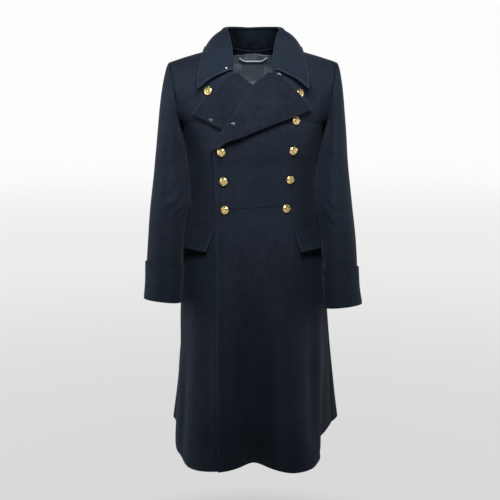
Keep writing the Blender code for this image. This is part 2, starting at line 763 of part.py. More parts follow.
def build_lapel(name, rows, section, tree, edge):
    """A lapel: it wraps the front's edge at the roll line and lies on the front."""
    lines = []
    for first, second in zip(rows, rows[1:]):
        lines.append(first)
        lines.append(LapelRow(*[(a + b) / 2 for a, b in zip(first, second)]))
    lines.append(rows[-1])
    grid = []
    for line in lines:
        start = edge_point(edge, line.roll_level)
        roll = Vector((start.x, start.z))
        rim = Vector((line.edge_x, line.edge_height))
        out = (rim - roll).normalized()
        column = []
        for beyond, lift in ROLL:
            spot = roll - out * beyond
            column.append(Vector((spot.x, start.y - lift, spot.y)))
        for step in section:
            spot = roll + (rim - roll) * step.share
            column.append(seen_point(tree, spot.x, spot.y, step.lift))
        grid.append(column)
    sheet(name, grid, DOUBLE_CLOTH, WOOL, Vector((0, -1, 0)))
    return grid


# ---- Collar ----
def push_clear(point, tree, clearance):
    """The point, moved out where it comes nearer to a face than the clearance."""
    place, normal, _, _ = tree.find_nearest(point)
    height = (point - place).dot(normal)
    return point + normal * max(clearance - height, 0.0)


def collar_lines():
    """The collar's fold and rim, from one front end round the back to the other."""
    table = [(i, row.seam, *row.fold, *row.rim) for i, row in enumerate(COLLAR)]
    flip = np.array([-1, -1, -1, 1, 1, -1, 1, 1])
    both = [np.array(row) * flip for row in table[:0:-1]] + [np.array(row) for row in table]
    steps = 2 * (len(COLLAR) - 1) * COLLAR_STEPS
    values = [smooth(both, step / COLLAR_STEPS - len(COLLAR) + 1) for step in range(steps + 1)]
    return [(row[1], Vector(row[2:5]), Vector(row[5:8])) for row in values]


def neckline(seam, out=0.0):
    """A point of the neck edge, out from the panels' face."""
    if abs(seam) <= 0.5:
        neck = across_at(BACK, TOP, FRONT_EDGE[-1].x)
        across = neck * seam / 0.5
        level = top_level(BACK, across, TOP)
        return on_body(BACK, across, level, out)
    level = TOP + (GORGE_LEVEL - TOP) * (abs(seam) - 0.5) / 0.5
    across = across_at(FRONT, level, math.copysign(edge_x(level), seam))
    return on_body(FRONT, across, level, out)


def build_stand():
    """The band that rises from the neck edge to the collar's fold."""
    lines = [line for line in collar_lines() if abs(line[0]) <= STAND_END]
    outer, inner = [], []
    for share in STAND_SHARES:
        row_out, row_in = [], []
        for seam, fold, _ in lines:
            near, far = neckline(seam, -CLOTH), neckline(seam)
            rise = (fold - near).normalized()
            top = fold - rise * STAND_UNDER
            row_in.append((near + rise * STAND_CLEAR).lerp(top, share))
            row_out.append((far + rise * STAND_CLEAR).lerp(top + (far - near) * STAND_TOP_SHARE, share))
        outer.append(row_out)
        inner.append(row_in)
    wall("collar_stand", outer, inner, WOOL)


def build_fall(tree):
    """The collar's turned-down part: it rolls over the stand's top and lies on the body."""
    lines = collar_lines()
    ways = []
    for _, fold, rim in lines:
        away = Vector((rim.x - fold.x, rim.y - fold.y, 0.0))
        ways.append(away.normalized())
    up = Vector((0, 0, 1))
    grid = []
    for out, rise in FALL_ROLL:
        grid.append([fold + way * out + up * rise for (_, fold, _), way in zip(lines, ways)])
    for share in FALL_SHARES:
        bulge = math.sin(math.pi * share) * FALL_BULGE
        row = []
        for (_, fold, rim), way in zip(lines, ways):
            point = fold.lerp(rim, share) + (way + up) * bulge
            row.append(push_clear(point, tree, FALL_CLEAR))
        grid.append(row)
    sheet("collar_fall", grid, DOUBLE_CLOTH, WOOL, Vector((0, 0, 1)))
    return grid


# ---- Pocket flaps ----
def build_flap(name, sign):
    """A flap on the side of a front panel, from its seam down."""
    grid = []
    for row in range(FLAP_ROWS + 1):
        down = row / FLAP_ROWS
        level = FLAP_HIGH + (FLAP_LOW - FLAP_HIGH) * down
        inner_x = FLAP_INNER_TOP + (FLAP_INNER_BOTTOM - FLAP_INNER_TOP) * down
        start = across_at(FRONT, level, sign * inner_x)
        lift = FLAP_LIFT_TOP + (FLAP_LIFT_LOW - FLAP_LIFT_TOP) * down
        line = []
        for column in range(FLAP_COLUMNS + 1):
            across = start + (sign * FLAP_OUTER - start) * column / FLAP_COLUMNS
            rise = lap_rise(level, body(FRONT, across, level).x) if sign > 0 else 0.0
            line.append(on_body(FRONT, across, level, rise + lift))
        grid.append(line)
    sheet(name, grid, DOUBLE_CLOTH, WOOL, Vector((sign, -1, 0)))


# ---- Buttons ----
def button_mesh():
    """A domed button, turned about its own axis, its back at the origin."""
    profile = [(share * BUTTON_RADIUS, height * BUTTON_HEIGHT) for share, height in BUTTON_PROFILE]
    mesh = bpy.data.meshes.new("button_profile")
    edges = [(i, i + 1) for i in range(len(profile) - 1)]
    mesh.from_pydata([(r, 0.0, z) for r, z in profile], edges, [])
    return mesh


def build_button(place, tree):
    hit, normal, _, _ = tree.ray_cast(
        Vector((place.x, -1.0, place.height)), Vector((0.0, 1.0, 0.0))
    )
    made = bpy.data.objects.new(place.name, button_mesh())
    made.data.materials.append(material(GILT))
    made.data.shade_smooth()
    bpy.data.collections["greatcoat"].objects.link(made)
    turned = made.modifiers.new("turned", "SCREW")
    turned.steps = BUTTON_STEPS
    turned.render_steps = BUTTON_STEPS
    turned.use_merge_vertices = True
    turned.merge_threshold = 0.00005
    turned.use_smooth_shade = True
    seat = hit + normal * BUTTON_CLEAR
    turn = normal.to_track_quat("Z", "Y").to_matrix().to_4x4()
    made.matrix_world = Matrix.Translation(seat - Vector((0, 0, NECK_HEIGHT))) @ turn


# ---- Inside the neck ----
def inside_back(x, height, depth):
    """A point inside the back panels at x and height, the depth in from their face."""
    across = across_at(BACK, height, x)
    return on_body(BACK, across, height, -depth)


def build_neck_lining():
    grid = []
    for row in range(LINING_ROWS + 1):
        height = LINING_LOW + (LINING_HIGH - LINING_LOW) * row / LINING_ROWS
        line = []
        for column in range(LINING_COLUMNS + 1):
            x = LINING_HALF * (2 * column / LINING_COLUMNS - 1)
            line.append(inside_back(x, height, LINING_DEPTH))
        grid.append(line)
    sheet("neck_lining", grid, LINING, LINING_CLOTH, Vector((0, -1, 0)))


def build_label():
    depth = LINING_DEPTH + LINING + LABEL_CLEAR
    grid = []
    for height in (LABEL_LOW, (LABEL_LOW + LABEL_HIGH) / 2, LABEL_HIGH):
        row = [inside_back(LABEL_HALF * share, height, depth) for share in (-1, -0.4, 0.4, 1)]
        grid.append(row)
    sheet("label", grid, LABEL_THICK, LABEL_CLOTH, Vector((0, -1, 0)))


def wire(name, points, radius, finish, resolution):
    """A round wire or cord through some points."""
    curve = bpy.data.curves.new(name, "CURVE")
    curve.dimensions = "3D"
    curve.bevel_depth = radius
    curve.bevel_resolution = resolution
    curve.use_fill_caps = True
    spline = curve.splines.new("POLY")
    spline.points.add(len(points) - 1)
    for point, place in zip(spline.points, origin_shift(points)):
        point.co = (*place, 1.0)
    spline.use_smooth = True
    curve.materials.append(material(finish))
    made = bpy.data.objects.new(name, curve)
    bpy.data.collections["greatcoat"].objects.link(made)


def build_hanger_loop():
    depth = LINING_DEPTH + LINING + LABEL_THICK + LOOP_CLEAR + LOOP_RADIUS
    points = []
    for step in range(LOOP_STEPS + 1):
        share = 2 * step / LOOP_STEPS - 1
        x = LOOP_HALF * share
        height = LOOP_HEIGHT - LOOP_DROP * (1 - share**4)
        points.append(inside_back(x, height, depth))
    wire("hanger_loop", points, LOOP_RADIUS, LOOP_CLOTH, 2)


def build_hook(place, tree):
    """A hairpin of wire that lies on the cloth."""
    hit, normal, _, _ = tree.ray_cast(
        Vector((place.x, -1.0, place.height)), Vector((0.0, 1.0, 0.0))
    )
    if normal.y > 0:
        normal = -normal
    along = Vector((math.cos(place.turn), 0.0, math.sin(place.turn)))
    along = (along - normal * along.dot(normal)).normalized()
    across = normal.cross(along)
    seat = hit + normal * (DOUBLE_CLOTH + HOOK_WIRE + SEAM_GAP * 2)
    half = HOOK_LENGTH / 2 - HOOK_WIDTH / 2
    points = [seat - along * half + across * HOOK_WIDTH / 2]
    for step in range(HOOK_BEND + 1):
        angle = math.pi / 2 - math.pi * step / HOOK_BEND
        bend = along * math.cos(angle) + across * math.sin(angle)
        points.append(seat + along * half + bend * HOOK_WIDTH / 2)
    points.append(seat - along * half - across * HOOK_WIDTH / 2)
    wire(place.name, points, HOOK_WIRE, STEEL, 1)


def main():
    clear_scene()
    new_collection("greatcoat")
    over, under, left, right = build_panels()
    build_sleeve("sleeve_left", 1, LEFT_SLEEVE_DROP)
    build_sleeve("sleeve_right", -1, RIGHT_SLEEVE_DROP)
    build_cuff("cuff_left", 1, LEFT_SLEEVE_DROP)
    build_cuff("cuff_right", -1, RIGHT_SLEEVE_DROP)
    under_tree = surface_tree([under])
    over_tree = surface_tree([over])
    lapels = [
        build_lapel(
            "lapel_under", LAPEL_UNDER, LAPEL_SECTION_UNDER, under_tree, [row[-1] for row in under]
        ),
        build_lapel(
            "lapel_over", LAPEL_OVER, LAPEL_SECTION_OVER, over_tree, [row[0] for row in over]
        ),
    ]
    build_stand()
    backs = [[row[::-1] for row in grid] for grid in (left, right)]
    fall = build_fall(surface_tree([over, under] + backs))
    build_flap("flap_left", 1)
    build_flap("flap_right", -1)
    for place in UNDER_BUTTONS:
        build_button(place, under_tree)
    for place in OVER_BUTTONS:
        build_button(place, over_tree)
    build_neck_lining()
    build_label()
    build_hanger_loop()
    top_tree = surface_tree(lapels + [fall])
    for place in HOOKS:
        build_hook(place, top_tree)


main()
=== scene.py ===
"""A heavy double-breasted greatcoat in dark wool, filled out as when it is worn.

Sizes are metres. Heights in the tables are measured up from the lowest point of the hem, and the
neck's height above it is taken off when a mesh is made, because the model's origin is at the neck.
The front faces -Y, and the wearer's left side is at +X.
"""

import logging
import math
from collections.abc import Sequence
from dataclasses import dataclass, field
from enum import Enum

import bmesh
import bpy
import numpy as np
from mathutils import Matrix, Vector
from mathutils.bvhtree import BVHTree


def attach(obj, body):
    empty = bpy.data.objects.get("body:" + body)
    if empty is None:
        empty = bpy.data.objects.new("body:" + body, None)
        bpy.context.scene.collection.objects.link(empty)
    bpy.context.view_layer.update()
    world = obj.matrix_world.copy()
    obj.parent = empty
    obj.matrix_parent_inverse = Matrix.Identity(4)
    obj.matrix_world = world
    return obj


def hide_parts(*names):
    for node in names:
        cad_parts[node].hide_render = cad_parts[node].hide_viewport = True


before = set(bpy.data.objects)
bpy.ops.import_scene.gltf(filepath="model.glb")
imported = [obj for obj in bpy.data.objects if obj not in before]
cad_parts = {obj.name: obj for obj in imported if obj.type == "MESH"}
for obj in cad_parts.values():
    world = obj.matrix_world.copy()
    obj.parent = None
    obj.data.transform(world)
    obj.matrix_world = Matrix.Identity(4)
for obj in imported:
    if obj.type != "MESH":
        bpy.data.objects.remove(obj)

Array = np.ndarray
Material, Mesh, Object = bpy.types.Material, bpy.types.Mesh, bpy.types.Object
Node, NodeSocket = bpy.types.Node, bpy.types.NodeSocket
Colour = tuple[float, float, float]
Place = tuple[float, float]

log = logging.getLogger("greatcoat")

NECK_HEIGHT = 1.135  # the origin's height above the hem
TO_NECK = np.array([0.0, 0.0, NECK_HEIGHT])
CLOTH = 0.003  # the wool with its lining
DOUBLE_CLOTH = 0.0044  # two layers of the wool
SEAM_GAP = 0.0003
FAR = 0.08  # a distance that no stitched row or seam reaches
SEAM_REACH = 0.012  # how far from a short seam its mark goes
ARM_GIRTH = 0.055  # the radius at which places round a sleeve count in metres


class Half(Enum):
    """The half of the body that a panel belongs to, and its direction along Y."""

    FRONT = -1
    BACK = 1


class Hand(Enum):
    """A side of the wearer, and its direction along X."""

    RIGHT = -1
    LEFT = 1

    @property
    def side(self) -> str:
        """The side, in words."""
        return self.name.lower()


class Side(Enum):
    """A side of a grid of cloth: the axis that crosses it, and whether it is the last there."""

    FIRST_ROW = (0, False)
    LAST_ROW = (0, True)
    FIRST_COLUMN = (1, False)
    LAST_COLUMN = (1, True)


# ---- Curves and grids ----
def unit(vectors: Array) -> Array:
    """Vectors made one long."""
    length = np.linalg.norm(vectors, axis=-1, keepdims=True)
    return vectors / np.maximum(length, 1e-12)


def ease(share: Array | float) -> Array:
    """A soft step from 0 to 1."""
    share = np.clip(share, 0.0, 1.0)
    return share * share * (3 - 2 * share)


def bezier(t: Array, a: Array, b: Array, c: Array, d: Array) -> Array:
    """A cubic through its two end values, drawn towards its two middle ones."""
    s = 1 - t
    return s**3 * a + 3 * s * s * t * b + 3 * s * t * t * c + t**3 * d


def hermite(t: Array, start: Array, leave: Array, end: Array, arrive: Array) -> Array:
    """A cubic with a place and a direction at either end."""
    return (
        start * (2 * t**3 - 3 * t**2 + 1)
        + leave * (t**3 - 2 * t**2 + t)
        + end * (3 * t**2 - 2 * t**3)
        + arrive * (t**3 - t**2)
    )


def through(keys: Array, rows: Array, slopes: Array, where: Array) -> Array:
    """A smooth curve through some rows.

    Args:
        keys: what each row is looked up by, rising.
        rows: the rows.
        slopes: each row's slope.
        where: the keys at which the curve is wanted.

    Returns:
        One row a key.
    """
    low = np.clip(np.searchsorted(keys, where) - 1, 0, len(keys) - 2)
    span = (keys[low + 1] - keys[low])[..., None]
    t = (where - keys[low])[..., None] / span
    return hermite(t, rows[low], slopes[low] * span, rows[low + 1], slopes[low + 1] * span)


def turns(count: int) -> Array:
    """Angles spaced evenly once round."""
    return 2 * np.pi * np.arange(count) / count


class SmoothTable:
    """A smooth curve through the rows of a table, which never overshoots them."""

    def __init__(self, rows: Sequence[Sequence[float]]) -> None:
        """Work out the slope at each row.

        Args:
            rows: the table; its first column is what it is looked up by, and rises.
        """
        self.rows = np.array([tuple(row) for row in rows], dtype=float)
        self.keys = self.rows[:, 0]
        steps = np.diff(self.rows, axis=0) / np.diff(self.keys)[:, None]
        slopes = np.vstack([steps[:1], (steps[1:] + steps[:-1]) / 2, steps[-1:]])
        bound = 2 * np.minimum(np.abs(steps[1:]), np.abs(steps[:-1]))
        flat = steps[1:] * steps[:-1] <= 0
        slopes[1:-1] = np.where(flat, 0.0, np.clip(slopes[1:-1], -bound, bound))
        self.slopes = slopes

    def at(self, where: Array | float) -> Array:
        """All columns at some values of the first.

        Args:
            where: the values, of any shape.

        Returns:
            An array of that shape, with one more axis for the columns.
        """
        return through(self.keys, self.rows, self.slopes, np.asarray(where, dtype=float))


def spline(points: Array, count: int) -> Array:
    """A smooth line through some points, drawn with evenly spaced points.

    Args:
        points: the points, one a row.
        count: how many points the line gets.

    Returns:
        The line's points, one a row.
    """
    keys = np.concatenate([[0.0], np.cumsum(np.linalg.norm(np.diff(points, axis=0), axis=1))])
    slopes = np.gradient(points, keys, axis=0)
    return through(keys, points, slopes, np.linspace(0.0, keys[-1], count))


def soften(points: Array, strength: int) -> Array:
    """A line of points with its corners rounded and its ends kept.

    Args:
        points: the points, one a row.
        strength: how many times each point moves towards its neighbours.

    Returns:
        The points, moved.
    """
    made = points.copy()
    for _ in range(strength):
        made[1:-1] += 0.5 * ((made[2:] + made[:-2]) / 2 - made[1:-1])
    return made


def grid_quads(rows: int, columns: int, closed: bool) -> Array:
    """The quads of a grid of points, row by row.

    Args:
        rows: how many rows it has.
        columns: how many points a row has.
        closed: whether each row joins end to end.

    Returns:
        Four indices a quad.
    """
    across = np.arange(columns if closed else columns - 1)[None, :]
    up = np.arange(rows - 1)[:, None] * columns
    beside = (across + 1) % columns
    corners = (up + across, up + beside, up + columns + beside, up + columns + across)
    return np.stack(np.broadcast_arrays(*corners), axis=-1).reshape(-1, 4)


def surface_tree(grids: Sequence[Array]) -> BVHTree:
    """The faces of some grids of points, to find places on."""
    points: list[list[float]] = []
    quads: list[list[int]] = []
    for grid in grids:
        quads += (grid_quads(grid.shape[0], grid.shape[1], False) + len(points)).tolist()
        points += grid.reshape(-1, 3).tolist()
    return BVHTree.FromPolygons(points, quads)


def seen(tree: BVHTree, x: float, height: float) -> tuple[Vector, Vector]:
    """The place on a surface that is seen from the front at x and height, and its direction.

    Args:
        tree: the surface.
        x: where it is seen.
        height: how high.

    Returns:
        The place, and the direction that it faces, towards the front.
    """
    place, normal, _, _ = tree.ray_cast(Vector((x, -1.0, height)), Vector((0.0, 1.0, 0.0)))
    if place is None:
        place, normal, _, _ = tree.find_nearest(Vector((x, -0.15, height)))
    return place, (-normal if normal.y > 0 else normal)


def grid_normals(grid: Array, closed: bool = False) -> Array:
    """The direction that each point of a grid faces, columns crossed with rows.

    Args:
        grid: the points.
        closed: whether each row joins end to end.

    Returns:
        One unit vector a point.
    """
    if closed:
        along = np.roll(grid, -1, axis=1) - np.roll(grid, 1, axis=1)
    else:
        along = np.gradient(grid, axis=1)
    return unit(np.cross(along, np.gradient(grid, axis=0)))


# ---- The body's form ----
@dataclass(frozen=True)
class Fold:
    """A soft fold of the skirt, deepest at the hem.

    place is 0 at the front centre, 1 and -1 at the side seams and 2 at the back centre. depth is
    outwards, width is half the fold's, in the units of place, and top is where it dies away.
    """

    place: float
    depth: float
    width: float
    top: float


BODY_SECTIONS = SmoothTable(
    (
        (0.0, 0.0, 0.245, 0.234, 0.17, 0.17, -0.15, 0.268, 0.74, 90),
        (0.15, 0.15, 0.234, 0.223, 0.128, 0.128, -0.15, 0.235, 0.7, 90),
        (0.3, 0.3, 0.223, 0.212, 0.09, 0.09, -0.149, 0.202, 0.67, 90),
        (0.44, 0.44, 0.211, 0.207, 0.06, 0.06, -0.149, 0.172, 0.63, 90),
        (0.56, 0.56, 0.201, 0.201, 0.042, 0.042, -0.149, 0.149, 0.59, 90),
        (0.615, 0.615, 0.197, 0.199, 0.036, 0.036, -0.148, 0.138, 0.57, 90),
        (0.662, 0.662, 0.19, 0.191, 0.03, 0.03, -0.144, 0.126, 0.56, 90),
        (0.735, 0.735, 0.18, 0.181, 0.026, 0.026, -0.138, 0.109, 0.55, 90),
        (0.81, 0.81, 0.18, 0.182, 0.026, 0.026, -0.145, 0.116, 0.55, 90),
        (0.885, 0.885, 0.187, 0.187, 0.02, 0.02, -0.153, 0.13, 0.57, 90),
        (0.93, 0.93, 0.193, 0.193, 0.01, 0.01, -0.155, 0.135, 0.6, 90),
        (0.966, 0.944, 0.197, 0.197, -0.04, 0.05, -0.155, 0.137, 0.5, 74),
        (1.004, 0.978, 0.202, 0.202, -0.064, 0.07, -0.151, 0.138, 0.5, 58),
        (1.044, 1.018, 0.208, 0.208, -0.066, 0.072, -0.138, 0.133, 0.54, 48),
        (1.086, 1.056, 0.215, 0.215, -0.052, 0.057, -0.108, 0.118, 0.6, 38),
        (1.118, 1.082, 0.22, 0.22, -0.033, 0.037, -0.072, 0.098, 0.6, 28),
        (1.142, 1.097, 0.223, 0.223, -0.014, 0.016, -0.034, 0.064, 0.6, 14),
        (1.154, 1.103, 0.224, 0.224, 0.0, 0.0, 0.0, 0.0, 0.6, 0),
    )
)


@dataclass
class BodyForm:
    """The form that the coat's panels have as they are worn, without its sleeves and collar.

    Each section's row gives the height at the centre line and at the side, the half widths
    towards +X and -X, where the front and the back end in Y, their Y at the centre lines, how
    full they are towards the corner, and the direction in which they reach their end.
    """

    sections: SmoothTable = BODY_SECTIONS
    folds: tuple[Fold, ...] = (
        Fold(0.01, -0.05, 0.2, 0.6),
        Fold(0.25, 0.04, 0.27, 0.56),
        Fold(0.76, -0.056, 0.3, 0.42),
        Fold(1.22, 0.032, 0.27, 0.5),
        Fold(1.54, -0.022, 0.18, 0.46),
        Fold(1.8, 0.018, 0.2, 0.52),
        Fold(-0.31, 0.042, 0.33, 0.56),
        Fold(-0.66, 0.005, 0.26, 0.3),
        Fold(-1.22, 0.024, 0.25, 0.4),
        Fold(-1.52, -0.02, 0.2, 0.44),
        Fold(-1.78, 0.016, 0.2, 0.5),
    )
    armpit: float = 0.93
    top: float = 1.154
    side_slant: float = 0.45
    bow: float = 1.5
    fold_fade: float = 1.35
    skirt_axis_y: float = 0.05
    hem_rise: float = 0.026
    hem_rise_top: float = 0.5
    hem_rise_span: Place = (-0.02, 0.22)

    def fold_push(self, place: Array, level: Array) -> Array:
        """How far the skirt's folds push the cloth out at places round it."""
        push = np.zeros(np.broadcast(place, level).shape)
        for fold in self.folds:
            away = np.abs((place - fold.place + 2) % 4 - 2)
            shape = 0.5 + 0.5 * np.cos(np.pi * np.minimum(away / fold.width, 1.0))
            left = np.clip(1 - level / fold.top, 0.0, None)
            push = push + fold.depth * shape * left**self.fold_fade
        return push

    def point(self, half: Half, across: Array, level: Array) -> Array:
        """Points of the body's face.

        Args:
            half: the front or the back.
            across: from -1 at one side seam to 1 at the other.
            level: the height at the centre line.

        Returns:
            One point for each pair of across and level.
        """
        across, level = np.broadcast_arrays(np.asarray(across, float), np.asarray(level, float))
        side = np.where(level > self.top, -half.value, half.value)
        level = np.where(level > self.top, 2 * self.top - level, level)
        past = np.abs(across) > 1
        side = np.where(past, -side, side)
        across = np.where(past, np.copysign(2 - np.abs(across), across), across)
        row = np.moveaxis(self.sections.at(np.maximum(level, 0.0)), -1, 0)
        centre, edge, plus, minus, side_front, side_back, front, back, flat, turn = row
        width = np.where(across >= 0, plus, minus)
        ahead = side < 0
        middle = np.where(ahead, front, back)
        end = np.where(ahead, side_front, side_back)
        end = np.where(level <= self.armpit, (side_front + side_back) / 2, end)
        turn = np.radians(turn)
        share = np.abs(across)
        zero = np.zeros_like(share)
        x = bezier(share, zero, flat * width, width * (1 - self.side_slant * np.cos(turn)), width)
        corner = end + flat * (middle - end) * np.sin(turn)
        y = bezier(share, middle, middle, corner, end)
        height = level + (edge - centre) * np.clip(x / width, 0.0, None) ** self.bow
        start, stop = self.hem_rise_span
        lift = ease((y - start) / (stop - start)) * self.hem_rise
        height = height + lift * np.clip(1 - level / self.hem_rise_top, 0.0, None) ** 2
        x = np.copysign(x, across)
        place = np.where(ahead, across, np.copysign(2 - share, across))
        out = unit(np.stack([x, y - self.skirt_axis_y, zero], axis=-1))
        push = self.fold_push(place, np.maximum(level, 0.0))
        return np.stack([x, y, height], axis=-1) + out * push[..., None]

    def normal(self, half: Half, across: Array, level: Array) -> Array:
        """The outward directions of the body's face at some of its points."""
        step = 0.004
        across, level = np.broadcast_arrays(np.asarray(across, float), np.asarray(level, float))
        above = level > self.armpit
        high = np.where(above, np.minimum(across + step, 1.0), across + step)
        low = np.where(above, np.maximum(across - step, -1.0), across - step)
        along = self.point(half, high, level) - self.point(half, low, level)
        up = self.point(half, across, level + step) - self.point(half, across, level - step)
        return unit(np.cross(along, up)) * -half.value

    def across_at(self, half: Half, level: Array, x: Array) -> Array:
        """The places across some sections where they reach x."""
        level, x = np.broadcast_arrays(np.asarray(level, float), np.asarray(x, float))
        low = np.full(level.shape, -1.0)
        high = np.full(level.shape, 1.0)
        for _ in range(26):
            middle = (low + high) / 2
            short = self.point(half, middle, level)[..., 0] < x
            low = np.where(short, middle, low)
            high = np.where(short, high, middle)
        return (low + high) / 2


@dataclass(frozen=True)
class Crease:
    """A soft fold in the cloth, along a bowed line between two places.

    Places are x and height on a panel, or the way round and height on a sleeve. depth is outwards,
    and below 0 for a trough. bow is how far the line's middle stands off its chord.
    """

    start: Place
    end: Place
    width: float
    depth: float
    bow: float = 0.0

    def push(self, places: Array) -> Array:
        """How far the crease moves the cloth out at some places."""
        start, end = np.array(self.start), np.array(self.end)
        chord = end - start
        length = max(float(np.hypot(*chord)), 1e-6)
        along = chord / length
        aside = np.array([-along[1], along[0]])
        t = (places - start) @ along / length
        middle = self.bow * (1 - (2 * np.clip(t, 0.0, 1.0) - 1) ** 2)
        away = (places - start) @ aside - middle
        beyond = np.maximum(np.maximum(-t, t - 1), 0.0) * length
        taper = 0.35 + 0.65 * np.sin(np.pi * np.clip(t, 0.0, 1.0)) ** 0.7
        reach = np.hypot(away, beyond * 1.4) / self.width
        return self.depth * np.exp(-(reach**2)) * taper


def slack(points: Array, depth: float, seed: float) -> Array:
    """The wide, shallow unevenness of thick cloth.

    Args:
        points: places on the cloth.
        depth: the most that it moves out or in.
        seed: another unevenness for each piece.

    Returns:
        How far each place moves out.
    """
    x, y, z = points[..., 0], points[..., 1], points[..., 2]
    waves = (
        np.sin(x * 31 + seed * 1.7 + 2.1 * np.sin(z * 9 + seed)) * np.sin(z * 13 + seed)
        + 0.6 * np.sin(x * 57 - z * 17 + y * 23 + seed * 3.1)
        + 0.45 * np.sin(z * 41 + y * 37 + seed * 5.3) * np.sin(x * 19 + seed)
    )
    return depth * waves / 2.05


def creased(push: Array, creases: Sequence[Crease], places: Array) -> Array:
    """How far the cloth moves out at some places, once its creases are added."""
    for crease in creases:
        push = push + crease.push(places)
    return push


def rows_of_creases(*rows: tuple[float, ...]) -> tuple[Crease, ...]:
    """Creases from rows of numbers: the two ends, the width, the depth and perhaps the bow."""
    return tuple(Crease((a, b), (c, d), *rest) for a, b, c, d, *rest in rows)


# ---- Cloth walls ----
@dataclass(frozen=True)
class Cut:
    """What a piece of cloth was cut to and how it is held.

    area is None where the cut is a rectangle. stitches names the piece that is its sewn row.
    """

    flat: Place
    held: str
    rests_on: tuple[str, ...]
    area: float | None = None
    stitches: str | None = None


CUTS = {
    "front_over": Cut((0.66, 1.3), "hung", ("collar_stand",), 0.49, "stitches_front"),
    "front_under": Cut((0.65, 1.29), "hung", ("collar_stand",), 0.48),
    "back_left": Cut((0.36, 1.23), "hung", ("collar_stand",), 0.305),
    "back_right": Cut((0.34, 1.23), "hung", ("collar_stand",), 0.298),
    "lapel_under": Cut((0.19, 0.42), "folded", ("front_under",), 0.0268, "stitches_lapel_under"),
    "lapel_over": Cut((0.19, 0.41), "folded", ("front_over",), 0.0258, "stitches_lapel_over"),
    "collar_stand": Cut((0.505, 0.055), "stretched", ("back_left",), 0.0178),
    "collar_fall": Cut(
        (0.79, 0.115), "folded", ("collar_stand", "front_over"), 0.0645, "stitches_collar"
    ),
    "sleeve_left": Cut((0.5, 0.66), "hung", ("front_over",), 0.215),
    "sleeve_right": Cut((0.5, 0.66), "hung", ("front_under",), 0.215),
    "cuff_left": Cut((0.405, 0.105), "folded", ("sleeve_left",), None, "stitches_cuff_left"),
    "cuff_right": Cut((0.405, 0.105), "folded", ("sleeve_right",), None, "stitches_cuff_right"),
    "flap_left": Cut((0.132, 0.062), "hung", ("front_over",), None, "stitches_flap_left"),
    "flap_right": Cut((0.132, 0.062), "hung", ("front_under",), None, "stitches_flap_right"),
    "neck_lining": Cut((0.222, 0.132), "laid", ("back_left", "back_right")),
    "label": Cut((0.063, 0.061), "laid", ("neck_lining",)),


}


